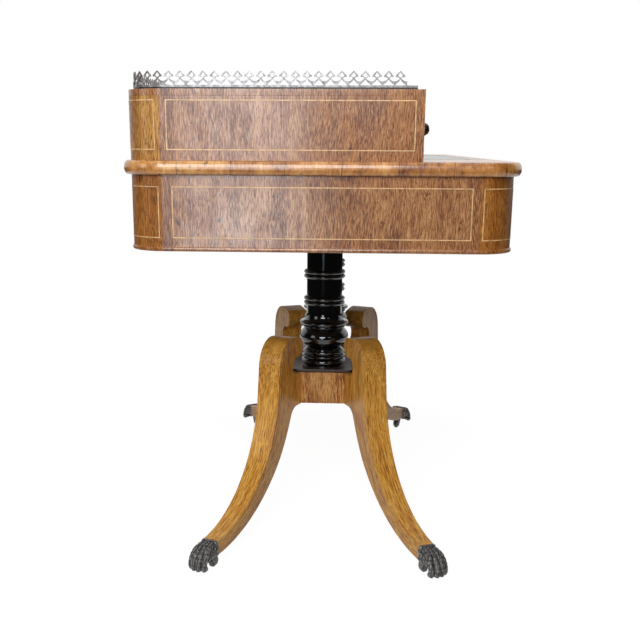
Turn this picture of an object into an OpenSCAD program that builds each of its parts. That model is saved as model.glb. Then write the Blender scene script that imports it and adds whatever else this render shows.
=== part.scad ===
// Carlton House desk on twin turned columns and four hipped sabre legs.
// The origin is on the floor under the middle of the desk. X runs along the desk,
// the sitter is at -Y and Z points up. All sizes are in millimetres.

/* [Top] */
// Length of the tabletop
top_length = 1200; // [1150:10:1400]
// Depth of the tabletop
top_depth = 643; // [630:1:720]
// Height of the writing surface above the floor
desk_height = 750; // [740:1:780]
// Thickness of the tabletop
top_thickness = 22; // [20:1:28]
// Overhang of the tabletop beyond the lower case
top_overhang = 12; // [8:1:16]
// Corner radius of the tabletop in plan
top_corner_r = 70; // [60:1:90]
// Length of the inset writing panel
leather_length = 660; // [500:10:680]
// Depth of the inset writing panel
leather_depth = 370; // [250:10:380]
// Thickness of the writing panel
leather_t = 1.4; // [1:0.1:2]

/* [Lower case] */
// Height of the lower case under the tabletop
frieze_height = 120; // [110:1:140]
// Thickness of the lower case walls
frieze_wall = 18; // [14:1:22]
// Height of the bead along the foot of the lower case
bead_h = 7; // [4:0.5:9]
// How far the bead stands proud
bead_out = 2; // [1:0.5:3]
// Height of the rail below the drawers
rail_h = 16; // [14:1:20]
// Thickness of the board under the drawers
board_t = 10; // [6:1:12]
// Thickness of the boards between the drawers
divider_t = 16; // [10:1:20]
// Width of the middle drawer opening
centre_drawer_w = 428; // [360:2:460]

/* [Upper case] */
// Height of the upper case above the writing surface
upper_height = 108; // [100:1:130]
// Width of each wing
wing_width = 236; // [200:1:240]
// Distance from the front edge of the tabletop to the front of the wings
wing_setback = 162; // [140:1:180]
// Depth of the back section
back_depth = 200; // [180:1:210]
// Thickness of the outer walls
upper_wall = 14; // [10:1:18]
// Thickness of the inner walls and partitions
inner_wall = 10; // [8:1:14]
// Thickness of the U-shaped top board
upper_top_t = 10; // [8:1:14]

/* [Drawers] */
// Thickness of a drawer front
front_t = 16; // [12:1:20]
// Thickness of the drawer sides and backs
side_t = 8; // [6:1:10]
// Thickness of the drawer bottoms
bottom_t = 5; // [4:0.5:8]
// Shadow gap round a drawer front
front_gap = 1; // [0.5:0.1:1.5]
// Sliding clearance under and beside a drawer box
slide_gap = 0.3; // [0.2:0.05:0.5]
// Clear height left above the drawer boxes
head_gap = 14; // [8:1:24]
// Length of the lower drawer boxes
frieze_drawer_len = 480; // [400:5:520]
// Length of the wing drawer boxes
wing_drawer_len = 250; // [200:5:280]
// Length of the back drawer boxes
back_drawer_len = 165; // [140:5:170]
// Diameter of a knob
knob_d = 21; // [16:0.5:24]
// How far a knob stands out
knob_out = 18; // [14:0.5:22]
// Spacing of the two knobs on the middle drawer
knob_spacing = 230; // [160:5:260]

/* [Gallery] */
// Height of the gallery above the wood
gallery_height = 27; // [24:0.5:32]
// Height of the plain strip at the foot of the gallery
strip_h = 5.8; // [4:0.2:7]
// Thickness of the gallery metal
gallery_t = 1.6; // [1.2:0.1:2.4]
// Distance from the case faces to the gallery
gallery_inset = 7; // [5:0.5:10]
// Distance between two motifs
motif_pitch = 17.8; // [16:0.1:22]
// Radius of the gallery round the back corners
gallery_turn_r = 56; // [48:1:58]
// Plain strip beyond the last motif at the front of a wing
strip_lead = 18; // [10:1:30]
// Distance from the front of a wing to the end of the strip
strip_setback = 12; // [6:1:30]

/* [Columns] */
// Distance between the two column axes
column_spacing = 195; // [170:1:240]
// Radius of the plain shaft
shaft_r = 37.5; // [32:0.1:40]
// Radius of the paired beads
bead_r = 43.7; // [42:0.1:46]
// Radius of the thin flange above the vase
flange_r = 52; // [48:0.5:56]
// Largest radius of the vase
vase_r = 52.4; // [48:0.1:54]
// Radius of the foot of the column
foot_r = 46.6; // [42:0.1:50]
// Radius of the turned pins at the ends of a column
spigot_r = 14; // [10:1:18]
// Length of those pins
spigot_len = 18; // [10:1:20]

/* [Platform] */
// Length of the platform block
platform_length = 320; // [300:2:360]
// Width of the end face between two legs
platform_end_w = 91; // [80:1:100]
// Height of the top of the platform block
platform_top = 307; // [290:1:320]
// Thickness of the platform block
platform_t = 67; // [60:1:75]
// Width of the thin plinth board
plinth_width = 130; // [114:1:132]
// Thickness of the plinth board
plinth_t = 6; // [5:1:10]
// Margin of the plinth board beyond the column feet along X
plinth_margin = 12; // [8:1:20]

/* [Bearer] */
// Thickness of the bearer under the lower case
bearer_t = 24; // [18:1:30]
// Width of the bearer
bearer_width = 150; // [130:2:180]

/* [Legs] */
// Angle of a leg to the length of the desk
leg_angle = 22.65; // [18:0.05:28]
// Width of a leg at the hip
hip_w = 48; // [44:1:52]
// Width of a leg at the ankle
ankle_w = 30; // [26:1:34]
// Distance from the platform to the ankle
leg_reach = 346; // [340:2:380]
// Height of the top of the hip
hip_top = 390; // [380:1:395]
// Radius of the outside of the hip
hip_r = 56; // [50:1:60]
// Depth of the ankle
ankle_h = 29; // [27:1:31]
// Radius of the outer sweep
sweep_r = 251; // [240:1:260]
// Radius of the inner sweep
under_r = 348; // [340:1:356]
// Radius of the scroll at the inner end of the hip
scroll_r = 20.5; // [16:0.5:22]
// Depth of the sunk line along the side of a leg
line_depth = 1; // [0.6:0.1:1.5]
// Width of that sunk line
line_w = 2.5; // [1.5:0.5:4]
// Width of the raised margin outside that line
line_margin = 6; // [4:0.5:9]

/* [Feet] */
// Distance from the ankle to the tip of the toes
paw_length = 54; // [50:1:60]
// Width of the paw across the toes
paw_w = 41; // [36:1:44]
// How far a paw turns out from the line of its leg
paw_turn = 8; // [0:1:12]
// How far the outer toes stand back
toe_setback = 10; // [6:1:12]
// Height of the tips of the claws
claw_z = 9; // [6:1:14]
// Radius of a caster wheel
wheel_r = 12.5; // [10:0.5:13]
// Thickness of a caster wheel
wheel_t = 9; // [7:0.5:11]
// Radius of a caster axle
axle_r = 2; // [1.5:0.1:3]
// Running clearance of the turning pins
pin_gap = 0.05; // [0.02:0.01:0.09]
// Radius of the caster pin
pin_r = 3; // [2.5:0.1:4]
// Distance from the caster pin to the axle
caster_trail = 12; // [12:0.5:14]

/* [Hidden] */
$fn = 96;

// Finish colours
rosewood = "#8a5a3c";
rosewood_dark = "#5f3a2a";
satinwood = "#a8703a";
ebony = "#151214";
leather_colour = "#2f4a38";
silvered = "#9a9a98";
oak = "#a98a62";
patinated = "#4c4a4c";

// Lower case planes
case_top = desk_height - top_thickness;
case_bottom = case_top - frieze_height;
case_x = top_length / 2 - top_overhang;
case_y = top_depth / 2 - top_overhang;
case_r = top_corner_r - top_overhang;
straight_x = case_x - case_r;
straight_y = case_y - case_r;
floor_z = case_bottom + rail_h;
seat_gap = 0.02;

// Upper case planes
upper_z = desk_height;
upper_top_z = upper_z + upper_height;
deck_z = upper_top_z - upper_top_t;
wing_front = -top_depth / 2 + wing_setback;
wing_in_x = case_x - wing_width;
back_front = case_y - back_depth;

// Drawer openings, each [low x, high x]
centre_open = [-centre_drawer_w / 2, centre_drawer_w / 2];
side_open = [centre_drawer_w / 2 + divider_t, straight_x];
wing_open = [wing_in_x + inner_wall, case_x - upper_wall];
bay_w = (2 * wing_in_x - 2 * inner_wall) / 3;
bay_x = bay_w / 2 + inner_wall;

// Edge rounding and small sizes
edge_r = top_thickness / 2;
edge_depth = 7;
arc_steps = 12;
screw_r = 2;
screw_head_r = 4;
screw_len = 30;

// Feet and casters
tenon_len = 8;
socket_gap = 0.1;
caster_x = leg_reach + 5;
cheek_t = 2;
cheek_gap = 0.5;
plate_t = 2.5;
plate_r = 10;
plate_gap = 0.3;
plate_top = 2 * wheel_r + 0.2 + plate_t;
paw_base = plate_top + plate_gap;
ankle_top = paw_base + ankle_h;
fork_w = wheel_t + 2 * cheek_gap;
swing_r = norm([caster_trail + wheel_r, wheel_t / 2 + cheek_gap + cheek_t]) + 1.5;
pin_top = paw_base + 11;

function arc(c, r, a0, a1, n = arc_steps) =
    [for (i = [0 : n]) let (a = a0 + (a1 - a0) * i / n) c + r * [cos(a), sin(a)]];

// A flat outline with four round corners
module round_rect(l, d, r) {
    union() {
        square([l - 2 * r, d], center = true);
        square([l, d - 2 * r], center = true);
        for (x = [-1, 1], y = [-1, 1])
            translate([x * (l / 2 - r), y * (d / 2 - r)]) circle(r);
    }
}

module mirror_x(on = true) {
    if (on) mirror([1, 0, 0]) children();
    else children();
}

module mirror_y(on = true) {
    if (on) mirror([0, 1, 0]) children();
    else children();
}

// Tabletop

// Half section of the rounded edge, x outwards from the flat part of the slab
function edge_section(over) = concat(
    [[-over, 0]],
    [for (i = [0 : arc_steps]) let (a = -90 + 180 * i / arc_steps)
        [edge_depth * (abs(cos(a)) < 0.001 ? 0 : cos(a)), edge_r + edge_r * sin(a)]],
    [[-over, top_thickness]]
);

module tabletop_edge() {
    over = 4;
    flat_x = top_length / 2 - top_corner_r;
    flat_y = top_depth / 2 - top_corner_r;
    for (s = [0, 180]) rotate(s) {
        translate([top_length / 2 - edge_depth, flat_y, 0])
            rotate([90, 0, 0]) linear_extrude(2 * flat_y) polygon(edge_section(over));
        translate([-flat_x, top_depth / 2 - edge_depth, 0])
            rotate([90, 0, 90]) linear_extrude(2 * flat_x) polygon(edge_section(over));
    }
    for (s = [0, 180]) rotate(s) {
        translate([flat_x, flat_y, 0]) corner_edge(over);
        translate([-flat_x, flat_y, 0]) rotate(90) corner_edge(over);
    }
}

module corner_edge(over) {
    rotate_extrude(angle = 90)
        translate([top_corner_r - edge_depth, 0]) polygon(edge_section(over));
}

module tabletop() {
    color(rosewood) translate([0, 0, case_top]) difference() {
        union() {
            linear_extrude(top_thickness)
                round_rect(top_length - 2 * edge_depth, top_depth - 2 * edge_depth, top_corner_r - edge_depth);
            tabletop_edge();
        }
        translate([-leather_length / 2, leather_y0, top_thickness - leather_t])
            cube([leather_length, leather_depth, leather_t + 1]);
    }
}

leather_front_margin = 36;
leather_y0 = -top_depth / 2 + leather_front_margin;
leather_sink = 0.2;

module writing_leather() {
    color(leather_colour)
        translate([-leather_length / 2 + socket_gap, leather_y0 + socket_gap, desk_height - leather_t])
            cube([leather_length - 2 * socket_gap, leather_depth - 2 * socket_gap, leather_t - leather_sink]);
}

// Lower case

// Section of a lower case wall, x outwards from the inner face, with its foot bead
function wall_section() = concat(
    [[0, 0]],
    [for (i = [0 : arc_steps]) let (a = -90 + 180 * i / arc_steps)
        [frieze_wall + bead_out * max(cos(a), 0), bead_h / 2 + bead_h / 2 * sin(a)]],
    [[frieze_wall, frieze_height], [0, frieze_height]]
);

module frieze_end() {
    translate([case_x - frieze_wall, straight_y, case_bottom])
        rotate([90, 0, 0]) linear_extrude(2 * straight_y) polygon(wall_section());
}

module frieze_end_left() {
    color(rosewood) mirror_x() frieze_end();
}

module frieze_end_right() {
    color(rosewood) frieze_end();
}

module frieze_back() {
    color(rosewood) translate([-straight_x, case_y - frieze_wall, case_bottom])
        rotate([90, 0, 90]) linear_extrude(2 * straight_x) polygon(wall_section());
}

// The front rail is the foot of a wall section, cut off below the drawers
module frieze_front_rail() {
    color(rosewood) mirror_y() translate([-straight_x, case_y - frieze_wall, case_bottom])
        rotate([90, 0, 90]) linear_extrude(2 * straight_x) intersection() {
            polygon(wall_section());
            square([2 * frieze_wall, rail_h]);
        }
}

module frieze_corner_posts() {
    color(rosewood_dark)
        for (x = [false, true], y = [false, true]) mirror_x(x) mirror_y(y)
            translate([straight_x, straight_y, case_bottom])
                rotate_extrude(angle = 90) translate([case_r - frieze_wall, 0]) polygon(wall_section());
}

// The board fills the case up to the level of the front rail
module bottom_board() {
    inner_x = case_x - frieze_wall;
    inner_y = case_y - frieze_wall;
    color(oak) translate([0, 0, floor_z - board_t]) difference() {
        linear_extrude(board_t) round_rect(2 * inner_x, 2 * inner_y, case_r - frieze_wall);
        for (x = [-1, 1], y = [-1, 1])
            translate([x * bearer_screw_x, y * bearer_screw_y, -1])
                cylinder(r = screw_r + socket_gap, h = screw_len - bearer_t + 1.2, $fn = 32);
    }
}

divider_back = case_y - frieze_wall;

module frieze_dividers() {
    color(oak) for (x = [-1, 1])
        translate([x * (centre_drawer_w + divider_t) / 2 - divider_t / 2, -case_y, floor_z])
            cube([divider_t, divider_back + case_y, case_top - floor_z]);
}

module drawer_guides() {
    color(oak) for (x = [false, true]) mirror_x(x)
        translate([straight_x, -straight_y, floor_z])
            cube([divider_t, 2 * straight_y, guide_h]);
}

guide_h = case_top - floor_z - head_gap;

// Bearer screws sit between the columns and the bearer ends
bearer_length = platform_length;
bearer_screw_x = column_spacing / 2 + 45;
bearer_screw_y = bearer_width / 2 - 18;

module bearer() {
    z = floor_z - board_t - bearer_t;
    chamfer = 6;
    half = bearer_width / 2;
    section = [
        [-half, bearer_t], [-half, chamfer], [-half + chamfer, 0],
        [half - chamfer, 0], [half, chamfer], [half, bearer_t]
    ];
    color(rosewood_dark) translate([0, 0, z]) difference() {
        rotate([90, 0, 90]) translate([0, 0, -bearer_length / 2])
            linear_extrude(bearer_length) polygon(section);
        for (x = [-1, 1]) {
            translate([x * column_spacing / 2, 0, -1]) cylinder(r = spigot_r + socket_gap, h = spigot_len + 1.2);
            for (y = [-1, 1]) translate([x * bearer_screw_x, y * bearer_screw_y, 0]) {
                cylinder(r = screw_r + socket_gap, h = bearer_t + 1, $fn = 32);
                translate([0, 0, -1]) countersink(socket_gap, 1);
            }
        }
    }
}

// Cone of a countersunk head. grow adds clearance all round, below carries the cone on downwards.
module countersink(grow, below) {
    depth = screw_head_r - screw_r;
    cylinder(r1 = screw_head_r + grow + below, r2 = screw_r + grow, h = depth + below, $fn = 32);
}

// Four slotted screws that hold the bearer to the bottom board
module bearer_screws() {
    slot_w = 0.8;
    slot_depth = 0.9;
    color(patinated) for (x = [-1, 1], y = [-1, 1])
        translate([x * bearer_screw_x, y * bearer_screw_y, column_top]) difference() {
            union() {
                countersink(0, 0);
                cylinder(r = screw_r, h = screw_len, $fn = 32);
            }
            translate([-screw_head_r - 1, -slot_w / 2, -1]) cube([2 * screw_head_r + 2, slot_w, slot_depth + 1]);
        }
}

// A drawer: front, two sides, back and bottom as separate boards.
// open is [low x, high x], z0 the surface it runs on, h the height of the opening,
// y the plane of its front face, len the length of its box.
module drawer(open, z0, h, y, len) {
    w = open[1] - open[0];
    box_w = w - 2 * front_gap;
    box_h = h - head_gap;
    z = z0 + slide_gap;
    color(rosewood) translate([open[0] + front_gap, y, z0 + front_gap])
        cube([box_w, front_t, h - 2 * front_gap]);
    color(oak) {
        for (x = [open[0] + front_gap, open[1] - front_gap - side_t])
            translate([x, y + front_t, z]) cube([side_t, len - front_t, box_h]);
        translate([open[0] + front_gap + side_t, y + len - side_t, z])
            cube([box_w - 2 * side_t, side_t, box_h]);
        translate([open[0] + front_gap + side_t, y + front_t, z + bottom_rise])
            cube([box_w - 2 * side_t, len - front_t - side_t, bottom_t]);
    }
}

bottom_rise = 4;
frieze_open_h = case_top - floor_z;
upper_open_h = deck_z - upper_z;

function flip(o) = [-o[1], -o[0]];

module frieze_drawer_left() {
    drawer(flip(side_open), floor_z, frieze_open_h, -case_y, frieze_drawer_len);
}

module frieze_drawer_centre() {
    drawer(centre_open, floor_z, frieze_open_h, -case_y, frieze_drawer_len);
}

module frieze_drawer_right() {
    drawer(side_open, floor_z, frieze_open_h, -case_y, frieze_drawer_len);
}

// A mushroom knob that points along -Y from the origin
function knob_profile() = concat(
    [[0, 0], [knob_d * 0.30, 0], [knob_d * 0.30, knob_out * 0.08]],
    arc([knob_d * 0.46, knob_out * 0.25], knob_d * 0.20, 220, 140, 6),
    arc([knob_d * 0.36, knob_out * 0.56], knob_d * 0.14, -60, 60, 8),
    [for (i = [1 : 7]) let (a = 12.5 * i) [knob_d * 0.43 * cos(a), knob_out * (0.68 + 0.32 * sin(a))]],
    [[0, knob_out]]
);

module knob(x, y, z) {
    color(ebony) translate([x, y, z]) rotate([90, 0, 0]) rotate_extrude($fn = 48) polygon(knob_profile());
}

frieze_knob_z = floor_z + frieze_open_h / 2;
side_knob_x = (side_open[0] + side_open[1]) / 2;
upper_knob_z = upper_z + upper_open_h / 2 + 2;

module frieze_knob_left() {
    knob(-side_knob_x, -case_y, frieze_knob_z);
}

module frieze_knobs_centre() {
    for (x = [-1, 1]) knob(x * knob_spacing / 2, -case_y, frieze_knob_z);
}

module frieze_knob_right() {
    knob(side_knob_x, -case_y, frieze_knob_z);
}

// Upper case

module upper_end() {
    translate([case_x - upper_wall, wing_front, upper_z])
        cube([upper_wall, straight_y - wing_front, deck_z - upper_z]);
}

module upper_end_left() {
    color(rosewood) mirror_x() upper_end();
}

module upper_end_right() {
    color(rosewood) upper_end();
}

module upper_back() {
    color(rosewood) translate([-straight_x, case_y - upper_wall, upper_z])
        cube([2 * straight_x, upper_wall, deck_z - upper_z]);
}

module upper_corner_posts() {
    color(rosewood_dark) for (x = [false, true]) mirror_x(x)
        translate([straight_x, straight_y, upper_z]) rotate_extrude(angle = 90)
            translate([case_r - upper_wall, 0]) square([upper_wall, deck_z - upper_z]);
}

module wing_inner() {
    translate([wing_in_x, wing_front, upper_z])
        cube([inner_wall, case_y - upper_wall - wing_front, deck_z - upper_z]);
}

module wing_inner_left() {
    color(rosewood_dark) mirror_x() wing_inner();
}

module wing_inner_right() {
    color(rosewood_dark) wing_inner();
}

module upper_partitions() {
    color(rosewood_dark) for (x = [false, true]) mirror_x(x)
        translate([bay_x - inner_wall, back_front, upper_z])
            cube([inner_wall, case_y - upper_wall - back_front, deck_z - upper_z]);
}

module upper_top() {
    color(rosewood) translate([0, 0, deck_z]) linear_extrude(upper_top_t) difference() {
        union() {
            translate([-case_x, wing_front]) square([2 * case_x, straight_y - wing_front]);
            translate([-straight_x, wing_front]) square([2 * straight_x, case_y - wing_front]);
            for (x = [-1, 1]) translate([x * straight_x, straight_y]) circle(case_r);
        }
        translate([-wing_in_x, wing_front - 1]) square([2 * wing_in_x, back_front - wing_front + 1]);
    }
}

module wing_drawer_left() {
    drawer(flip(wing_open), upper_z, upper_open_h, wing_front, wing_drawer_len);
}

module wing_drawer_right() {
    drawer(wing_open, upper_z, upper_open_h, wing_front, wing_drawer_len);
}

wing_knob_x = (wing_open[0] + wing_open[1]) / 2;

module wing_knob_left() {
    knob(-wing_knob_x, wing_front, upper_knob_z);
}

module wing_knob_right() {
    knob(wing_knob_x, wing_front, upper_knob_z);
}

// The three back drawers lie between the inner walls of the wings
side_bay = [bay_x, wing_in_x];
centre_bay = [-bay_x + inner_wall, bay_x - inner_wall];
back_knob_x = (side_bay[0] + side_bay[1]) / 2;

module back_drawer_left() {
    drawer(flip(side_bay), upper_z, upper_open_h, back_front, back_drawer_len);
}

module back_drawer_centre() {
    drawer(centre_bay, upper_z, upper_open_h, back_front, back_drawer_len);
}

module back_drawer_right() {
    drawer(side_bay, upper_z, upper_open_h, back_front, back_drawer_len);
}

module back_knob_left() {
    knob(-back_knob_x, back_front, upper_knob_z);
}

module back_knob_centre() {
    knob(0, back_front, upper_knob_z);
}

module back_knob_right() {
    knob(back_knob_x, back_front, upper_knob_z);
}

// Gallery

// Key heights of one motif above the wood: the arms at a stem, the waist and the corners of the loop
arm_z = strip_h + 5.9;
waist_z = strip_h + 9.8;
corner_z = strip_h + 13.4;
stem_w = 2.8;
arch_h = 8.4;
wire = 1.9;

function both_sides(left, middle) = concat(
    left, middle, [for (i = [len(left) - 1 : -1 : 0]) [-left[i][0], left[i][1]]]
);

// Upper outline of one motif from its left stem to its right stem, centred on x = 0.
// The arms rise from the stems to the waist, and the loop above it has a curl at each corner.
function motif_top(p) = both_sides([
    [-p / 2, arm_z], [-p * 0.38, arm_z + 0.2], [-p * 0.27, arm_z + 1], [-p * 0.15, waist_z - 1.3],
    [-p * 0.07, waist_z], [-p * 0.12, waist_z + 1.1], [-p * 0.24, waist_z + 2.6], [-p * 0.29, waist_z + 2.2],
    [-p * 0.37, waist_z + 2.3], [-p * 0.42, corner_z - 0.2], [-p * 0.38, corner_z + 1.4],
    [-p * 0.20, corner_z + 4.6], [-p * 0.035, gallery_height - 0.3]
], [[0, gallery_height]]);

// Opening inside the loop of one motif
function motif_eye(p) = both_sides([
    [-p * 0.04, waist_z + 1.8], [-p * 0.14, waist_z + 3.2], [-p * 0.20, corner_z + 0.5],
    [-p * 0.12, corner_z + 3]
], [[0, gallery_height - wire * 1.35]]);

// Bell-shaped opening between the arms of one motif and the strip
function motif_gap(p) = both_sides([
    [-p / 2 + stem_w / 2, strip_h], [-p / 2 + stem_w / 2, strip_h + 0.8], [-p * 0.36, strip_h + 2],
    [-p * 0.26, strip_h + 3.5], [-p * 0.13, strip_h + 5.6], [-p * 0.06, strip_h + arch_h - 1.2]
], [[0, strip_h + arch_h]]);

function shifted(points, x) = [for (q = points) q + [x, 0]];
function flat_points(lists) = [for (l = lists) for (q = l) q];
function starts(lists, i = 0, at = 0) =
    i == len(lists) ? [] : concat([at], starts(lists, i + 1, at + len(lists[i])));

// A flat sheet in the XZ plane, cut out by the outline and the holes in lists
module pierced_sheet(lists) {
    first = starts(lists);
    paths = [for (i = [0 : len(lists) - 1]) [for (k = [0 : len(lists[i]) - 1]) first[i] + k]];
    translate([0, gallery_t / 2, 0]) rotate([90, 0, 0]) linear_extrude(gallery_t)
        polygon(flat_points(lists), paths);
}

// A run of n motifs with a plain strip of length lead after it
module gallery_run(n, p, lead) {
    top = motif_top(p);
    end = n * p;
    past_stem = [[end + lead, strip_h], [end + stem_w / 2, strip_h], [end + stem_w / 2, arm_z]];
    outline = concat(
        [[0, 0], [end + lead, 0]],
        lead > 0 ? past_stem : [[end, arm_z]],
        [for (i = [n - 1 : -1 : 0]) each [for (k = [len(top) - 2 : -1 : 0]) top[k] + [(i + 0.5) * p, 0]]]
    );
    middles = [for (i = [0 : n - 1]) (i + 0.5) * p];
    holes = [for (x = middles) each [shifted(motif_eye(p), x), shifted(motif_gap(p), x)]];
    pierced_sheet(concat([outline], holes));
}

// Middle planes of the gallery, and the axis of its turn round a back corner
gallery_x = case_x - gallery_inset - gallery_t / 2;
gallery_y = case_y - gallery_inset - gallery_t / 2;
turn_x = gallery_x - gallery_turn_r;
turn_y = gallery_y - gallery_turn_r;
corner_motifs = round(gallery_turn_r * PI / 2 / motif_pitch);
corner_step = 90 / corner_motifs;
corner_pitch = 2 * gallery_turn_r * sin(corner_step / 2);
side_length = turn_y - wing_front - strip_setback - strip_lead;
side_motifs = round(side_length / motif_pitch);
side_pitch = side_length / side_motifs;
// The back run is made in equal lengths with a hairline joint between them
back_lengths = 4;
joint_gap = 0.4;
length_step = 2 * turn_x / back_lengths;
length_motifs = round(length_step / motif_pitch);
length_pitch = (length_step - joint_gap) / length_motifs;

// The quarter turn: a bent strip that carries small flat motifs and round posts at their joints
module gallery_corner() {
    translate([turn_x, turn_y, upper_top_z]) {
        rotate_extrude(angle = 90)
            translate([gallery_turn_r - gallery_t / 2, 0]) square([gallery_t, strip_h]);
        for (i = [0 : corner_motifs - 1])
            rotate(corner_step * (i + 0.5))
                translate([gallery_turn_r * cos(corner_step / 2), -corner_pitch / 2, 0]) rotate(90)
                    corner_motif(corner_pitch);
        for (i = [1 : corner_motifs - 1])
            rotate(corner_step * i) translate([gallery_turn_r, 0, strip_h / 2])
                cylinder(r = stem_w / 2, h = arm_z - strip_h / 2, $fn = 24);
    }
}

// One motif between two posts
module corner_motif(p) {
    arm_end = strip_h + 2.4;
    left = [[0.13 * p, strip_h + 2.8], [0.24 * p, strip_h + 3.6], [0.37 * p, strip_h + 5.6], [0.44 * p, strip_h + 7.2]];
    arch = [for (q = both_sides(shifted(left, -p / 2), [[0, strip_h + arch_h]])) q + [p / 2, 0]];
    outline = concat(
        [[0, arm_end]], shifted(motif_top(p), p / 2), [[p, arm_end]], [for (i = [len(arch) - 1 : -1 : 0]) arch[i]]
    );
    pierced_sheet([outline, shifted(motif_eye(p), p / 2)]);
}

module gallery_side() {
    translate([gallery_x, turn_y, upper_top_z]) rotate(-90) gallery_run(side_motifs, side_pitch, strip_lead);
    gallery_corner();
}

module gallery_left() {
    color(silvered) mirror_x() gallery_side();
}

module gallery_right() {
    color(silvered) gallery_side();
}

module gallery_back() {
    color(silvered) for (i = [0 : back_lengths - 1])
        translate([-turn_x + i * length_step + joint_gap / 2, gallery_y, upper_top_z])
            gallery_run(length_motifs, length_pitch, 0);
}

// Columns

plinth_top = platform_top + plinth_t;
column_top = floor_z - board_t - bearer_t;
flange_neck = flange_r - 5.5;
vase_foot_r = 35;

// Half-round bead of radius r and half height h about height z
function bead(r, z, h, n = 8) =
    [for (i = [0 : n]) let (a = -90 + 180 * i / n) [r - h + h * cos(a), z + h * sin(a)]];

function column_profile() = let (z = plinth_top) concat(
    [[0, z - spigot_len], [spigot_r, z - spigot_len], [spigot_r, z], [foot_r - 3, z], [foot_r - 3, z + 2.6]],
    bead(foot_r + 1, z + 10, 7),
    [[foot_r - 4.5, z + 17.6], [foot_r - 4.5, z + 18.8]],
    bead(foot_r + 0.4, z + 21.6, 2.4, 6),
    [[foot_r - 4.5, z + 24.4], [foot_r - 4.5, z + 25.4]],
    bead(foot_r - 1.4, z + 30.4, 4.6),
    [for (i = [1 : 5]) let (a = 18 * i) [vase_foot_r + 6 * cos(a) * cos(a), z + 35.4 + 4 * sin(a)]],
    [for (i = [0 : 20]) let (t = 0.02 + 0.9 * i / 20)
        [vase_foot_r + (vase_r - vase_foot_r) * pow(sin(180 * t), 0.8), z + 40 + 46 * t]],
    [[vase_r - 9.5, z + 83]],
    bead(vase_r - 6.5, z + 85.3, 1.9, 6),
    [[vase_r - 9.5, z + 87.6], [vase_r - 9, z + 90]],
    bead(flange_r, z + 93.6, 3, 8),
    [for (i = [0 : 10]) let (a = 9 * i)
        [flange_neck - (flange_neck - shaft_r) * sin(a), z + 97 + 17 * (1 - cos(a))]],
    [[shaft_r, z + 131]],
    bead(bead_r, z + 135.8, 4.4), bead(bead_r, z + 145, 4.4),
    [[shaft_r, z + 149.8], [shaft_r, z + 187.4]],
    bead(bead_r, z + 192.2, 4.4), bead(bead_r, z + 201.4, 4.4),
    [[shaft_r, z + 206.2], [shaft_r, column_top - 22]],
    [for (i = [1 : 8]) let (a = 11.25 * i) [shaft_r + 6 * (1 - cos(a)), column_top - 22 + 16 * sin(a)]],
    [[shaft_r + 6, column_top], [spigot_r, column_top], [spigot_r, column_top + spigot_len],
     [0, column_top + spigot_len]]
);

module column(x) {
    color(ebony) translate([x, 0, 0]) rotate_extrude() polygon(column_profile());
}

module column_left() {
    column(-column_spacing / 2);
}

module column_right() {
    column(column_spacing / 2);
}

// Platform

plinth_length = column_spacing + 2 * (foot_r + plinth_margin);
plinth_corner_r = 12;

module plinth_board() {
    color(rosewood_dark) translate([0, 0, platform_top]) difference() {
        linear_extrude(plinth_t) round_rect(plinth_length, plinth_width, plinth_corner_r);
        for (x = [-1, 1]) translate([x * column_spacing / 2, 0, -1])
            cylinder(r = spigot_r + socket_gap, h = plinth_t + 2);
    }
}

// The ends of the block are canted to take the legs square on
cant_in = [platform_length / 2, platform_end_w / 2];
cant_out = cant_in + hip_w * [-sin(leg_angle), cos(leg_angle)];

module platform_block() {
    outline = [
        cant_in, cant_out, [-cant_out[0], cant_out[1]], [-cant_in[0], cant_in[1]],
        -cant_in, -cant_out, [cant_out[0], -cant_out[1]], [cant_in[0], -cant_in[1]]
    ];
    color(satinwood) translate([0, 0, platform_top - platform_t]) difference() {
        linear_extrude(platform_t) polygon(outline);
        for (x = [-1, 1]) translate([x * column_spacing / 2, 0, platform_t - spigot_len + plinth_t - 0.2])
            cylinder(r = spigot_r + socket_gap, h = spigot_len);
    }
}

// Legs. The outline is drawn with x outwards from the platform and y up.

hip_c = [47, hip_top - hip_r];
sweep_c = [leg_reach + 13, ankle_top + sweep_r];
under_z = paw_base;
under_c = [leg_reach + 17, under_z + under_r];
scroll_c = [15, hip_top - scroll_r - 4.5];
cove_r = (scroll_c[1] - scroll_r - platform_top) / 2;
cove_c = [24, platform_top + cove_r];
fillet_r = 30;
block_z = platform_top - platform_t;

// Angle at which the line between the hip and the sweep leaves both arcs
hip_to_sweep = sweep_c - hip_c;
tangent_a = atan2(hip_to_sweep[1], hip_to_sweep[0]) + acos((hip_r + sweep_r) / norm(hip_to_sweep));
// Angle of the line over the top, from the scroll to the hip
scroll_to_hip = hip_c - scroll_c;
crest_a = 90 + asin((hip_r - scroll_r) / norm(scroll_to_hip)) + atan2(scroll_to_hip[1], scroll_to_hip[0]);
// Centre of the fillet under the platform, tangent to its underside and to the inner sweep
fillet_z = block_z - fillet_r;
fillet_c = [under_c[0] - sqrt(pow(under_r + fillet_r, 2) - pow(under_c[1] - fillet_z, 2)), fillet_z];
fillet_a = atan2(under_c[1] - fillet_c[1], under_c[0] - fillet_c[0]);

function sweep_arc(r, c, a0) = arc(c, r, 180 + a0, 270 - asin((c[0] - leg_reach) / r), 24);

function leg_outline() = concat(
    [[0, block_z]],
    arc(fillet_c, fillet_r, 90, fillet_a, 8),
    arc(under_c, under_r, 180 + fillet_a, 270 - asin((under_c[0] - leg_reach) / under_r), 24),
    [for (i = [24 : -1 : 0]) sweep_arc(sweep_r, sweep_c, tangent_a)[i]],
    arc(hip_c, hip_r, tangent_a, crest_a, 14),
    arc(scroll_c, scroll_r, crest_a, 270, 14),
    arc(cove_c, cove_r, 90, -90, 10),
    [[0, platform_top]]
);

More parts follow.
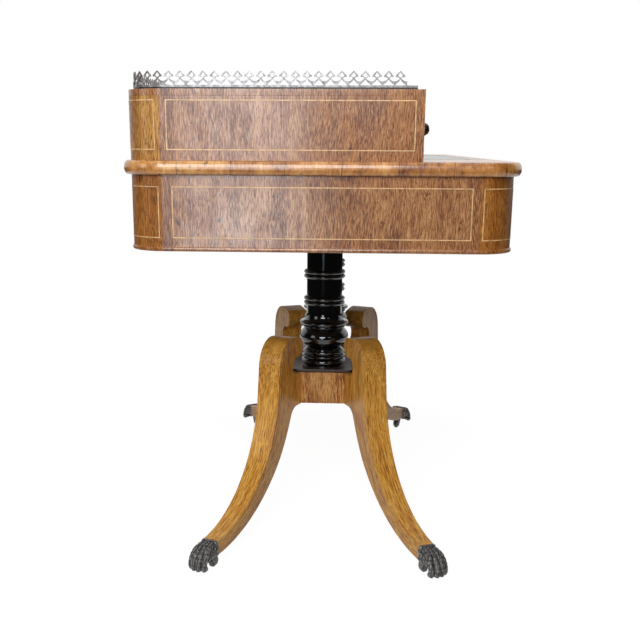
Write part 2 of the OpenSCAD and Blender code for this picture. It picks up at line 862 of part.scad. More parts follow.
// Centre line of the sunk line: it follows the outer sweep, goes over the hip and ends at the scroll
function line_path(d) = concat(
    [for (i = [24 : -1 : 0]) sweep_arc(sweep_r + d, sweep_c, tangent_a)[i]],
    arc(hip_c, hip_r - d, tangent_a, crest_a, 14),
    arc(scroll_c, scroll_r - d, crest_a, 250, 12)
);

module line_band() {
    a = line_path(line_margin);
    b = line_path(line_margin + line_w);
    polygon(concat(a, [for (i = [len(b) - 1 : -1 : 0]) b[i]]));
}

// Plan outline of a leg, tapering from the hip to the ankle, less inset on each side
taper_from = 102;

module leg_plan(inset) {
    c = hip_w / 2;
    a = hip_w / 2 - inset;
    b = ankle_w / 2 - inset;
    slope_end = leg_reach + tenon_len;
    polygon([[-scroll_r, c - a], [taper_from, c - a], [leg_reach, c - b], [slope_end, c - b],
        [slope_end, c + b], [leg_reach, c + b], [taper_from, c + a], [-scroll_r, c + a]]);
}

module leg_body(inset) {
    intersection() {
        translate([0, hip_w, 0]) rotate([90, 0, 0]) linear_extrude(hip_w) children();
        linear_extrude(hip_top + 10) leg_plan(inset);
    }
}

tenon_w = ankle_w - 12;
tenon_h = 10;
tenon_z = ankle_top - 4 - tenon_h / 2;

module leg() {
    leg_body(line_depth) polygon(leg_outline());
    leg_body(0) difference() {
        polygon(leg_outline());
        line_band();
    }
    translate([leg_reach - 2, hip_w / 2 - tenon_w / 2, tenon_z - tenon_h / 2])
        cube([tenon_len + 2, tenon_w, tenon_h]);
}

// Puts a piece of the front right leg, drawn from the cant of the platform, at one of the four corners
module at_corner(left, front) {
    mirror_x(left) mirror_y(front)
        translate([cant_in[0], cant_in[1], 0]) rotate(leg_angle) children();
}

module leg_front_left() {
    color(satinwood) at_corner(true, true) leg();
}

module leg_front_right() {
    color(satinwood) at_corner(false, true) leg();
}

module leg_back_left() {
    color(satinwood) at_corner(true, false) leg();
}

module leg_back_right() {
    color(satinwood) at_corner(false, false) leg();
}

// Feet

toe_r = paw_w / 8;

// One toe with its tendon, from the strap over the knuckles to the blunt claw, at a sideways offset
module toe(y) {
    tip = leg_reach + paw_length - toe_r - toe_setback * pow(y / (paw_w / 2), 2);
    hull() {
        translate([leg_reach + 8, y * 0.7, ankle_top - 5]) sphere(toe_r * 0.7, $fn = 12);
        translate([leg_reach + 20, y * 0.86, ankle_top - 6.5]) sphere(toe_r * 0.85, $fn = 14);
        translate([leg_reach + 20, y * 0.86, paw_base + 6]) sphere(toe_r * 0.85, $fn = 12);
    }
    hull() {
        translate([leg_reach + 20, y * 0.86, ankle_top - 6.5]) sphere(toe_r * 0.85, $fn = 14);
        translate([leg_reach + 33, y * 0.95, ankle_top - 11.5]) sphere(toe_r * 0.95, $fn = 14);
        translate([leg_reach + 32, y * 0.95, paw_base + 6]) sphere(toe_r, $fn = 12);
    }
    hull() {
        translate([leg_reach + 33, y * 0.95, ankle_top - 11.5]) sphere(toe_r * 0.95, $fn = 14);
        translate([tip - 2.6, y, paw_base + 6]) sphere(toe_r * 1.06, $fn = 14);
        translate([tip - 1, y, paw_base - 4]) sphere(toe_r * 1.06, $fn = 14);
    }
    hull() {
        translate([tip - 1, y, paw_base - 4]) sphere(toe_r * 1.06, $fn = 14);
        translate([tip - 0.4, y, claw_z + toe_r]) sphere(toe_r * 0.85, $fn = 12);
        translate([tip - 8, y, claw_z + toe_r + 6]) sphere(toe_r * 0.7, $fn = 12);
    }
}

// The strap lies square on the leg, and the paw turns out from the axis of its caster
module paw_shell() {
    strap_t = 9;
    hull() {
        translate([leg_reach, -ankle_w / 2 - 2, under_z - 2]) cube([strap_t - 2, ankle_w + 4, ankle_h + 4]);
        translate([leg_reach + strap_t - 3, -ankle_w / 2 - 1, under_z - 1]) cube([3, ankle_w + 2, ankle_h + 2]);
    }
    translate([caster_x, 0, 0]) rotate(paw_turn) translate([-caster_x, 0, 0]) {
        hull() {
            translate([leg_reach + 2, -ankle_w / 2 + 1, paw_base]) cube([5, ankle_w - 2, ankle_h - 5]);
            for (y = [-1, 1]) {
                translate([leg_reach + 21, y * (paw_w / 2 - 9), ankle_top - 15]) sphere(7.5, $fn = 16);
                translate([leg_reach + 33, y * (paw_w / 2 - 8), paw_base + 7]) sphere(7, $fn = 16);
                translate([leg_reach + 14, y * (paw_w / 2 - 8), paw_base + 7]) sphere(7, $fn = 16);
            }
        }
        for (i = [-1.5 : 1 : 1.5]) toe(i * paw_w / 4.1);
    }
}

// The cap is hollow for the tenon of the leg and drilled for the caster pin.
// Below its base the swing of the caster is kept clear.
module paw() {
    translate([0, hip_w / 2, 0]) difference() {
        paw_shell();
        translate([leg_reach - 1, -tenon_w / 2 - socket_gap, tenon_z - tenon_h / 2 - socket_gap])
            cube([tenon_len + 1 + socket_gap, tenon_w + 2 * socket_gap, tenon_h + 2 * socket_gap]);
        translate([caster_x, 0, 0]) cylinder(r = swing_r, h = paw_base, $fn = 64);
        translate([caster_x, 0, 0]) cylinder(r = pin_r + pin_gap, h = pin_top + 0.5, $fn = 48);
    }
}

module paw_front_left() {
    color(patinated) at_corner(true, true) paw();
}

module paw_front_right() {
    color(patinated) at_corner(false, true) paw();
}

module paw_back_left() {
    color(patinated) at_corner(true, false) paw();
}

module paw_back_right() {
    color(patinated) at_corner(false, false) paw();
}

// Caster: a swivel plate with its pin, two cheeks and a riveted axle.
// At rest it trails inwards, under the ankle.
module cheek_outline() {
    union() {
        translate([-caster_trail, wheel_r]) circle(wheel_r - 5, $fn = 48);
        polygon([
            [-caster_trail - 7.5, wheel_r + 2], [-caster_trail + 7.5, wheel_r - 2], [plate_r - 4, plate_top - plate_t],
            [plate_r - 4, plate_top], [-plate_r, plate_top], [-plate_r - 4, plate_top - 3]
        ]);
    }
}

module caster() {
    translate([caster_x, hip_w / 2, 0]) {
        difference() {
            union() {
                translate([0, 0, plate_top - plate_t]) cylinder(r = plate_r, h = plate_t, $fn = 64);
                cylinder_between(plate_top - plate_t, pin_top, pin_r);
                for (s = [-1, 1]) translate([0, s * (fork_w + cheek_t) / 2 + cheek_t / 2, 0])
                    rotate([90, 0, 0]) linear_extrude(cheek_t) cheek_outline();
            }
            axle_cylinder(axle_r + seat_gap, fork_w + 2 * cheek_t + 2);
        }
        axle_cylinder(axle_r, fork_w + 2 * cheek_t + 1);
    }
}

module cylinder_between(z0, z1, r) {
    translate([0, 0, z0]) cylinder(r = r, h = z1 - z0, $fn = 48);
}

module axle_cylinder(r, length) {
    translate([-caster_trail, 0, wheel_r]) rotate([90, 0, 0])
        cylinder(r = r, h = length, center = true, $fn = 48);
}

module wheel() {
    tread = [
        [axle_r + pin_gap, -wheel_t / 2], [wheel_r - 3, -wheel_t / 2], [wheel_r - 1, -wheel_t / 2 + 1],
        [wheel_r, -wheel_t / 4], [wheel_r, wheel_t / 4], [wheel_r - 1, wheel_t / 2 - 1],
        [wheel_r - 3, wheel_t / 2], [axle_r + pin_gap, wheel_t / 2]
    ];
    translate([caster_x - caster_trail, hip_w / 2, wheel_r])
        rotate([90, 0, 0]) rotate_extrude($fn = 64) polygon(tread);
}

module caster_front_left() {
    color(patinated) at_corner(true, true) caster();
}

module caster_front_right() {
    color(patinated) at_corner(false, true) caster();
}

module caster_back_left() {
    color(patinated) at_corner(true, false) caster();
}

module caster_back_right() {
    color(patinated) at_corner(false, false) caster();
}

module wheel_front_left() {
    color(patinated) at_corner(true, true) wheel();
}

module wheel_front_right() {
    color(patinated) at_corner(false, true) wheel();
}

module wheel_back_left() {
    color(patinated) at_corner(true, false) wheel();
}

module wheel_back_right() {
    color(patinated) at_corner(false, false) wheel();
}

tabletop();
writing_leather();
frieze_end_left();
frieze_end_right();
frieze_back();
frieze_front_rail();
frieze_corner_posts();
bottom_board();
frieze_dividers();
drawer_guides();
bearer();
bearer_screws();
frieze_drawer_left();
frieze_drawer_centre();
frieze_drawer_right();
frieze_knob_left();
frieze_knobs_centre();
frieze_knob_right();
upper_end_left();
upper_end_right();
upper_back();
upper_corner_posts();
wing_inner_left();
wing_inner_right();
upper_partitions();
upper_top();
wing_drawer_left();
wing_drawer_right();
wing_knob_left();
wing_knob_right();
back_drawer_left();
back_drawer_centre();
back_drawer_right();
back_knob_left();
back_knob_centre();
back_knob_right();
gallery_left();
gallery_back();
gallery_right();
column_left();
column_right();
plinth_board();
platform_block();
leg_front_left();
leg_front_right();
leg_back_left();
leg_back_right();
paw_front_left();
paw_front_right();
paw_back_left();
paw_back_right();
caster_front_left();
caster_front_right();
caster_back_left();
caster_back_right();
wheel_front_left();
wheel_front_right();
wheel_back_left();
wheel_back_right();
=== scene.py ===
"""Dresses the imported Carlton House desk: veneers, inlay, turned columns, gallery, carved feet, light and camera."""
import logging
import math
from contextlib import contextmanager
from dataclasses import dataclass, field
from enum import Enum
from functools import reduce
from typing import Callable, Iterator, Sequence

import bmesh
import bpy
from mathutils import Matrix, Vector


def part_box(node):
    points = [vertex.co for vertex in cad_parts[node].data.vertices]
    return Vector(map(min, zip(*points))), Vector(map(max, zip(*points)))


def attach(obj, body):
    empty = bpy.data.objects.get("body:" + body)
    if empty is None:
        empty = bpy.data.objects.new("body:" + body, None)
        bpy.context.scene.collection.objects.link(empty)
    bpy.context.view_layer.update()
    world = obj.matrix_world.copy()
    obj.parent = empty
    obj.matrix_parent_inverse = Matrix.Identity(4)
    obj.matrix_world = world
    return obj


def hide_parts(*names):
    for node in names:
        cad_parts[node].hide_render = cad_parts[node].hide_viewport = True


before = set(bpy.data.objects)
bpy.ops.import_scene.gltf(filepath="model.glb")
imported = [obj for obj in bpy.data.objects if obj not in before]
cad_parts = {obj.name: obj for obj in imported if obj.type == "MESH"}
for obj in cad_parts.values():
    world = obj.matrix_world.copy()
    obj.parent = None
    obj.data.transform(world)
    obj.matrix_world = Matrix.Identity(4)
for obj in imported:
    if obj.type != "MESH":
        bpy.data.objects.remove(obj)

log = logging.getLogger("desk")

Colour = tuple[float, float, float]
Point = tuple[float, float, float]
Profile = Sequence[tuple[float, float]]
Piece = bpy.types.Object
Socket = bpy.types.NodeSocket
Material = bpy.types.Material
EditMesh = bmesh.types.BMesh
Face = bmesh.types.BMFace
MM = 0.001

# Points closer than this are one point
DOUBLE = 2e-6

# A flat inlay line's depth in the surface and its height above it; a bent one's thickness, half of it in the surface
SET_IN, PROUD, BENT_LINE = 0.4 * MM, 0.12 * MM, 0.9 * MM


class Grain(Enum):
    """The axis that the grain of a piece of wood runs along."""

    ALONG_X = 0
    ALONG_Y = 1
    ALONG_Z = 2


# Modelling helpers


def pick(*pieces: Piece) -> None:
    """Selects these pieces alone; the last one becomes the active one.

    Args:
        pieces: The objects to select.
    """
    bpy.ops.object.select_all(action="DESELECT")
    for piece in pieces:
        piece.select_set(True)
        bpy.context.view_layer.objects.active = piece


@contextmanager
def editing(piece: Piece, everything: bool = False) -> Iterator[EditMesh]:
    """Opens a piece in edit mode and closes it again.

    Args:
        piece: The mesh object to edit.
        everything: Whether the whole mesh starts selected.

    Returns:
        The edit mesh, for selecting faces and edges by their place.
    """
    pick(piece)
    bpy.ops.object.mode_set(mode="EDIT")
    bpy.ops.mesh.select_mode(type="FACE")
    bpy.ops.mesh.select_all(action="SELECT" if everything else "DESELECT")
    yield bmesh.from_edit_mesh(piece.data)
    bpy.ops.object.mode_set(mode="OBJECT")


def select_faces(piece: Piece, mesh: EditMesh, test: Callable[[Face], bool]) -> None:
    """Selects the faces that pass a test and nothing else.

    Args:
        piece: The object in edit mode.
        mesh: Its edit mesh.
        test: Called with each face.
    """
    for face in mesh.faces:
        face.select_set(bool(test(face)))
    bmesh.update_edit_mesh(piece.data)


def name_new(name: str) -> Piece:
    """Names the object that an operator has just added.

    Args:
        name: The name of the object and its mesh.

    Returns:
        The object.
    """
    piece = bpy.context.view_layer.objects.active
    piece.name = name
    piece.data.name = name
    return piece


def added(name: str, primitive: Callable[..., object], **settings: object) -> Piece:
    """Adds a primitive with nothing else selected.

    Args:
        name: The name of the new object.
        primitive: The operator that adds it.
        settings: The operator's settings.

    Returns:
        The new object.
    """
    bpy.ops.object.select_all(action="DESELECT")
    primitive(**settings)
    return name_new(name)


def settle(piece: Piece) -> Piece:
    """Moves an object's place, turn and scale into its mesh.

    Args:
        piece: The object.

    Returns:
        The same object, at the origin, unturned and unscaled.
    """
    pick(piece)
    bpy.ops.object.transform_apply(location=True, rotation=True, scale=True)
    return piece


def tidy_mesh(piece: Piece, smooth_angle: float = 32.0) -> Piece:
    """Merges doubles, points the faces outwards and shades the piece smooth up to an angle.

    Args:
        piece: The mesh object.
        smooth_angle: The angle between faces, in degrees, up to which they shade as one surface.

    Returns:
        The same object.
    """
    with editing(piece, everything=True):
        bpy.ops.mesh.remove_doubles(threshold=DOUBLE)
        bpy.ops.mesh.normals_make_consistent(inside=False)
    bpy.ops.object.shade_smooth_by_angle(angle=math.radians(smooth_angle))
    return piece


def modify(piece: Piece, kind: str, **settings: object) -> None:
    """Adds a modifier with these settings and applies it at once.

    Args:
        piece: The mesh object.
        kind: The type of the modifier.
        settings: Its settings.
    """
    pick(piece)
    modifier = piece.modifiers.new(kind.title(), kind)
    for key, value in settings.items():
        setattr(modifier, key, value)
    bpy.ops.object.modifier_apply(modifier=modifier.name)


def own_copy(source: Piece, name: str) -> Piece:
    """Copies an object with a mesh of its own and no tie to a body.

    Args:
        source: The object to copy.
        name: The name of the copy.

    Returns:
        The copy.
    """
    copy = source.copy()
    copy.data = source.data.copy()
    copy.name = name
    copy.data.name = name
    copy.parent = None
    for key in list(copy.keys()):
        del copy[key]
    bpy.context.scene.collection.objects.link(copy)
    return copy


def mirrored_copy(source: Piece, name: str, left: bool, front: bool) -> Piece:
    """Copies a piece drawn at the right back corner to another corner.

    Args:
        source: The piece at +X +Y.
        name: The name of the copy.
        left: Whether the copy goes to the left end.
        front: Whether the copy goes to the sitter's side.

    Returns:
        The mirrored copy, with its faces outwards.
    """
    copy = own_copy(source, name)
    copy.scale = (-1 if left else 1, -1 if front else 1, 1)
    return tidy_mesh(settle(copy))


def join(name: str, pieces: Sequence[Piece]) -> Piece:
    """Joins pieces into one object.

    Args:
        name: The name of the joined object.
        pieces: The objects, of which the last one stays.

    Returns:
        The joined object.
    """
    pick(*pieces)
    bpy.ops.object.join()
    return name_new(name)


def arc(centre: tuple[float, float], radius: float, start: float, end: float, steps: int) -> list[tuple[float, float]]:
    """Points along a circular arc.

    Args:
        centre: The centre of the arc.
        radius: Its radius.
        start: The first angle in degrees.
        end: The last angle in degrees.
        steps: How many steps lie between them.

    Returns:
        The points, both ends among them.
    """
    turns = (math.radians(start + (end - start) * i / steps) for i in range(steps + 1))
    return [(centre[0] + radius * math.cos(a), centre[1] + radius * math.sin(a)) for a in turns]


def turned(name: str, profile: Profile, segments: int = 96) -> Piece:
    """Turns a profile about the Z axis, ring by ring, from its foot to its head.

    Args:
        name: The name of the piece.
        profile: (radius, height) pairs in metres, from the bottom up, with radii above zero.
        segments: How many sides the turning has.

    Returns:
        The turned piece, closed at both ends.
    """
    radius, height = profile[0]
    piece = settle(added(name, bpy.ops.mesh.primitive_circle_add, vertices=segments, radius=radius, fill_type="NGON",
                         location=(0, 0, height)))
    with editing(piece, everything=True):
        for next_radius, next_height in profile[1:]:
            bpy.ops.mesh.extrude_region_move(TRANSFORM_OT_translate={"value": (0, 0, next_height - height)})
            scale = next_radius / radius
            bpy.ops.transform.resize(value=(scale, scale, 1), center_override=(0, 0, next_height))
            radius, height = next_radius, next_height
    return piece


def eased(node: str, width: float, segments: int = 2, sharp: float = 30.0) -> Piece:
    """Copies a node of the frame and eases its sharp edges.

    Args:
        node: The node to copy.
        width: The width of the easing in metres.
        segments: How many faces round each edge.
        sharp: The angle in degrees above which an edge is eased.

    Returns:
        The eased copy, which still has to be dressed.
    """
    piece = own_copy(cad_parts[node], f"{node}_dressed")
    with editing(piece, everything=True):
        bpy.ops.mesh.customdata_custom_splitnormals_clear()
        bpy.ops.mesh.remove_doubles(threshold=DOUBLE)
        bpy.ops.mesh.dissolve_limited(angle_limit=math.radians(0.4), delimit=set())
    modify(piece, "BEVEL", width=width, segments=segments, limit_method="ANGLE",
           angle_limit=math.radians(sharp), use_clamp_overlap=True, harden_normals=False)
    pick(piece)
    bpy.ops.object.shade_smooth_by_angle(angle=math.radians(40))
    # Flat faces keep their own normals, so that the easing round them doesn't make them shade as domes
    modify(piece, "WEIGHTED_NORMAL", mode="FACE_AREA", weight=100, keep_sharp=True)
    return piece


# Finishes


class Graph:
    """A node tree under construction, with short ways to add and link its nodes."""

    def __init__(self, tree: bpy.types.NodeTree) -> None:
        """Starts from an empty tree."""
        self.tree = tree
        self.tree.nodes.clear()

    def add(self, kind: str, inputs: dict[str | int, object] | None = None, **settings: object) -> bpy.types.Node:
        """Adds a node.

        Args:
            kind: The node's type name, without its "ShaderNode" start.
            inputs: Values or sockets for its inputs, by name or index.
            settings: Other properties of the node.

        Returns:
            The node.
        """
        node = self.tree.nodes.new(f"ShaderNode{kind}")
        for key, value in settings.items():
            setattr(node, key, value)
        for key, value in (inputs or {}).items():
            self.feed(node.inputs[key], value)
        return node

    def feed(self, socket: Socket, value: object) -> None:
        """Sets a socket to a value, or links it to another socket.

        Args:
            socket: The input.
            value: A value, or the output of another node.
        """
        if isinstance(value, Socket):
            self.tree.links.new(value, socket)
        elif isinstance(value, tuple) and len(value) == 3 and socket.type == "RGBA":
            socket.default_value = (*value, 1)
        else:
            socket.default_value = value

    def math(self, operation: str, first: object, second: object = 0.0) -> Socket:
        """One step of arithmetic."""
        return self.add("Math", {0: first, 1: second}, operation=operation).outputs[0]

    def times(self, first: object, second: object) -> Socket:
        """The product of two values."""
        return self.math("MULTIPLY", first, second)

    def plus(self, *terms: object) -> Socket:
        """The sum of two or more values."""
        return reduce(lambda total, term: self.math("ADD", total, term), terms)

    def most(self, *terms: object) -> Socket:
        """The largest of two or more values."""
        return reduce(lambda largest, term: self.math("MAXIMUM", largest, term), terms)

    def vector(self, operation: str, first: object, second: object) -> Socket:
        """One step of arithmetic on vectors."""
        return self.add("VectorMath", {0: first, 1: second}, operation=operation).outputs[0]

    def parts(self, vector: object) -> Sequence[Socket]:
        """The three components of a vector."""
        return self.add("SeparateXYZ", {0: vector}).outputs

    def choose(self, switch: object, off: object, on: object) -> Socket:
        """The first value where the switch is zero, the second where it is one."""
        return self.add("Mix", {0: switch, 2: off, 3: on}, data_type="FLOAT").outputs[0]

    def span(self, value: object, low: float, high: float, to_low: float = 0.0, to_high: float = 1.0) -> Socket:
        """Maps the range low to high onto another range, clamped."""
        limits = {"From Min": low, "From Max": high, "To Min": to_low, "To Max": to_high}
        return self.add("MapRange", {"Value": value, **limits}).outputs[0]


class Shader(Graph):
    """A material under construction."""

    def __init__(self, name: str) -> None:
        """Starts an empty material with a surface shader.

        Args:
            name: The name of the material.
        """
        self.material = bpy.data.materials.new(name)
        self.material.use_nodes = True
        super().__init__(self.material.node_tree)
        self.output = self.add("OutputMaterial")
        self.surface = self.add("BsdfPrincipled")
        self.feed(self.output.inputs["Surface"], self.surface.outputs[0])

    def coordinates(self, scale: Point = (1, 1, 1), turn: Point = (0, 0, 0), shift: Point = (0, 0, 0)) -> Socket:
        """Object coordinates through a mapping.

        Args:
            scale: Factors along the three axes.
            turn: Turn about the three axes in radians.
            shift: Offset in metres.

        Returns:
            The vector socket.
        """
        source = self.add("TexCoord").outputs["Object"]
        return self.add("Mapping", {"Vector": source, "Scale": scale, "Rotation": turn, "Location": shift}).outputs[0]

    def noise(self, vector: Socket, scale: float, detail: float = 3, roughness: float = 0.55) -> Socket:
        """A noise value for these coordinates."""
        settings = {"Vector": vector, "Scale": scale, "Detail": detail, "Roughness": roughness}
        return self.add("TexNoise", settings).outputs["Fac"]

    def own_value(self, count: Socket) -> Socket:
        """A value of its own for each whole number, from zero to one."""
        return self.add("TexWhiteNoise", {"W": count}, noise_dimensions="1D").outputs["Value"]

    def ramp(self, value: object, stops: Sequence[tuple[float, Colour]]) -> Socket:
        """Colours a value by stops of (position, colour).

        Args:
            value: What picks the colour.
            stops: The positions from zero to one, and their colours.

        Returns:
            The colour.
        """
        node = self.add("ValToRGB", {"Fac": value})
        elements = node.color_ramp.elements
        while len(elements) < len(stops):
            elements.new(0.5)
        for element, (position, colour) in zip(elements, stops):
            element.position = position
            element.color = (*colour, 1)
        return node.outputs["Color"]

    def blend(self, factor: object, first: object, second: object, mode: str = "MIX") -> Socket:
        """Mixes two colours."""
        return self.add("Mix", {0: factor, 6: first, 7: second}, data_type="RGBA", blend_type=mode).outputs[2]

    def bump(self, height: object, strength: float, distance: float) -> None:
        """Gives the surface a bump from a height value."""
        node = self.add("Bump", {"Height": height, "Strength": strength, "Distance": distance})
        self.set(Normal=node.outputs[0])

    def set(self, **values: object) -> None:
        """Sets sockets of the surface shader; spaces in their names are written as underscores."""
        for key, value in values.items():
            self.feed(self.surface.inputs[key.replace("_", " ")], value)


def shaded(colour: Colour, factor: float) -> Colour:
    """A colour made darker by a factor."""
    return tuple(factor * channel for channel in colour)


@dataclass(frozen=True)
class Finish:
    """What every finish has: the name of its material, and the material slot of the record."""

    name: str
    slot: str

    def material(self) -> Material:
        """Builds the material.

        Returns:
            The finished material.
        """
        shader = Shader(self.name)
        self.paint(shader)
        return shader.material

    def paint(self, shader: Shader) -> None:
        """Sets up the surface; each finish has its own way."""
        raise NotImplementedError


@dataclass(frozen=True)
class Pattern:
    """One size of figure in wood.

    Attributes:
        along: How far it is squeezed along the grain.
        scale: How fine it is.
        detail: How many finer layers lie over it.
        roughness: How strong these are.
        drawn: Whether it follows the wood's own draw and fineness.
    """

    along: float
    scale: float
    detail: float
    roughness: float
    drawn: bool = False


BANDS = Pattern(0.07, 44, 4, 0.65)
STREAKS = Pattern(0.075, 800, 3, 0.65, drawn=True)
PORES = Pattern(0.16, 900, 2, 0.6, drawn=True)
CLOUDS = Pattern(0.4, 22, 4, 0.6)
FLECKS = Pattern(0.22, 600, 2, 0.5, drawn=True)
SPOTS = Pattern(0.55, 88, 2, 0.4)


@dataclass(frozen=True)
class Wood(Finish):
    """Polished wood or veneer with bands, fine streaks, pores, flecks and slow changes of tone.

    Attributes:
        deep, mid, light: Its three tones.
        grain: The axis that the grain runs along.
        turn, shift: Turn and offset of its coordinates.
        fleck, band, streak, cloud: How strong each kind of figure is.
        fine: How much finer the streaks, pores and flecks are than usual.
        polish, polish_roughness, lustre: Weight, roughness and refraction of the polish.
        gloss: The shine of the wood under it.
        draw: How much longer the figure is drawn out than usual.
        sweep: The radius that the grain is bent round, or zero.
        worn: How far the polish is rubbed off over open grain.
        leaf, joints: The width of one leaf of veneer, or zero, and the axis that the leaves follow each other on.
        banded: The limits of the panel inside the banding, by axis.
        banding: The tint of the banding.
    """

    deep: Colour
    mid: Colour
    light: Colour
    grain: Grain = Grain.ALONG_Z
    turn: Point = (0.0, 0.0, 0.0)
    shift: Point = (0.0, 0.0, 0.0)
    fleck: float = 0.5
    band: float = 0.5
    streak: float = 0.5
    fine: float = 1.0
    polish: float = 0.5
    polish_roughness: float = 0.24
    lustre: float = 1.5
    gloss: float = 0.3
    draw: float = 1.0
    sweep: float = 0.0
    cloud: float = 0.34
    worn: float = 0.0
    leaf: float = 0.0
    joints: Grain = Grain.ALONG_Y
    banded: tuple[tuple[Grain, float, float], ...] = ()
    banding: Colour = (0.95, 0.88, 0.84)

    def paint(self, shader: Shader) -> None:
        """Lays the figure, the dark flecks, the banding and the polish over each other.

        Args:
            shader: The material under construction.
        """
        plain = shader.coordinates(turn=self.turn, shift=self.shift)
        place = self.bent(shader, plain) if self.sweep else plain
        place = self.parted(shader, place) if self.leaf else place
        place = self.swayed(shader, place)
        bands, streaks, pores, clouds = (self.figure(shader, place, kind) for kind in (BANDS, STREAKS, PORES, CLOUDS))
        tone = self.tone(shader, bands, streaks, clouds)
        colour = shader.ramp(tone, [(0.16, self.deep), (0.5, self.mid), (0.84, self.light)])
        colour = self.darkened(shader, place, colour, streaks)
        if self.banded:
            colour = shader.blend(self.outside(shader, plain), colour, self.banding, "MULTIPLY")
        coat = self.rubbed(shader, streaks, clouds) if self.worn else self.polish
        coat_rough = shader.span(clouds, 0.35, 0.65, 1.3 * self.polish_roughness, 0.8 * self.polish_roughness)
        shader.set(Base_Color=colour, Roughness=shader.span(pores, 0.3, 0.7, 0.56, 0.42), Coat_Weight=coat,
                   Coat_IOR=self.lustre, Specular_IOR_Level=self.gloss, Coat_Roughness=coat_rough)
        shader.bump(shader.plus(shader.times(pores, 0.5), streaks), 0.10, 0.0003)

    def figure(self, shader: Shader, place: Socket, pattern: Pattern) -> Socket:
        """One pattern of the wood.

        Args:
            shader: The material under construction.
            place: The coordinates of the wood.
            pattern: The size of figure.

        Returns:
            Its value, from zero to one.
        """
        along = pattern.along / self.draw if pattern.drawn else pattern.along
        scale = pattern.scale * self.fine if pattern.drawn else pattern.scale
        return shader.noise(self.stretched(shader, place, along), scale, pattern.detail, pattern.roughness)

    def tone(self, shader: Shader, bands: Socket, streaks: Socket, clouds: Socket) -> Socket:
        """How light the wood is: its bands, streaks and clouds, each by its strength, about the middle tone.

        Args:
            shader: The material under construction.
            bands: The broad figure.
            streaks: The fine figure.
            clouds: The slow changes.

        Returns:
            The tone, from the deepest at zero to the lightest at one.
        """
        band = 0.38 * self.band
        layers = ((bands, 0.3, 0.7, band), (streaks, 0.32, 0.68, self.streak), (clouds, 0.3, 0.7, self.cloud))
        terms = [shader.times(shader.span(value, low, high), share) for value, low, high, share in layers]
        return shader.plus(*terms, 0.5 - 0.5 * (band + self.streak + self.cloud))

    def rubbed(self, shader: Shader, streaks: Socket, clouds: Socket) -> Socket:
        """Thins the polish over open grain and in patches, so that the sheen breaks up along the figure."""
        fine = shader.span(streaks, 0.36, 0.62, (1.0 - self.worn) * self.polish, self.polish)
        return shader.times(fine, shader.span(clouds, 0.38, 0.62, 0.75, 1.0))

    def darkened(self, shader: Shader, place: Socket, colour: Socket, streaks: Socket) -> Socket:
        """Adds dark pores, short flecks and a few larger spots to the colour.

        Args:
            shader: The material under construction.
            place: The coordinates of the wood.
            colour: The colour so far.
            streaks: The fine figure, which has the pores.

        Returns:
            The darkened colour.
        """
        pores = shader.span(streaks, 0.36, 0.24)
        flecks = shader.span(self.figure(shader, place, FLECKS), 0.61, 0.69)
        knots = shader.span(self.figure(shader, place, SPOTS), 0.70, 0.78)
        mask = shader.most(shader.times(pores, 0.45), flecks, knots)
        return shader.blend(shader.times(mask, self.fleck), colour, shaded(self.deep, 0.42))

    def swayed(self, shader: Shader, place: Socket) -> Socket:
        """Lets the grain wander a little from its line.

        Args:
            shader: The material under construction.
            place: The coordinates of the wood.

        Returns:
            The coordinates, moved a little.
        """
        warp = shader.add("TexNoise", {"Vector": place, "Scale": 7.0, "Detail": 2.0})
        bend = shader.vector("SUBTRACT", warp.outputs["Color"], (0.5, 0.5, 0.5))
        sway = shader.add("VectorMath", {0: bend, "Scale": 0.018}, operation="SCALE").outputs[0]
        return shader.vector("ADD", place, sway)

    def stretched(self, shader: Shader, place: Socket, along: float) -> Socket:
        """Squeezes coordinates along the grain, so that a pattern draws out that way.

        Args:
            shader: The material under construction.
            place: The coordinates of the wood.
            along: The factor along the grain.

        Returns:
            The squeezed coordinates.
        """
        scale = [1.0, 1.0, 1.0]
        scale[self.grain.value] = along
        return shader.vector("MULTIPLY", place, tuple(scale))

    def parted(self, shader: Shader, place: Socket) -> Socket:
        """Shows another part of the pattern on every leaf of veneer, by a jump along the grain.

        Args:
            shader: The material under construction.
            place: The coordinates of the wood.

        Returns:
            The coordinates, with their jumps.
        """
        parts = shader.parts(place)
        jump = shader.own_value(shader.math("FLOOR", shader.math("DIVIDE", parts[self.joints.value], self.leaf)))
        moved = [parts[axis] for axis in range(3)]
        moved[self.grain.value] = shader.plus(moved[self.grain.value], shader.times(jump, 3.0))
        return shader.add("CombineXYZ", dict(enumerate(moved))).outputs[0]

    def bent(self, shader: Shader, place: Socket) -> Socket:
        """Bends the grain round the sweep of a leg, whose centre is the origin: way round, sideways, distance.

        Args:
            shader: The material under construction.
            place: The coordinates of the wood.

        Returns:
            The bent coordinates.
        """
        parts = shader.parts(place)
        inward, down = (shader.times(parts[axis], -1.0) for axis in (0, 2))
        round_sweep = shader.times(shader.math("ARCTAN2", down, inward), self.sweep)
        distance = shader.math("SQRT", shader.plus(shader.times(inward, inward), shader.times(down, down)))
        return shader.add("CombineXYZ", {0: round_sweep, 1: parts[1], 2: distance}).outputs[0]

    def outside(self, shader: Shader, place: Socket) -> Socket:
        """One on the banding round a panel, zero on the panel itself.

        Args:
            shader: The material under construction.
            place: The coordinates of the panel.

        Returns:
            The mask.
        """
        parts = shader.parts(place)
        tests = [shader.math(test, parts[axis.value], limit) for axis, low, high in self.banded
                 for test, limit in (("LESS_THAN", low), ("GREATER_THAN", high))]
        return shader.most(*tests)


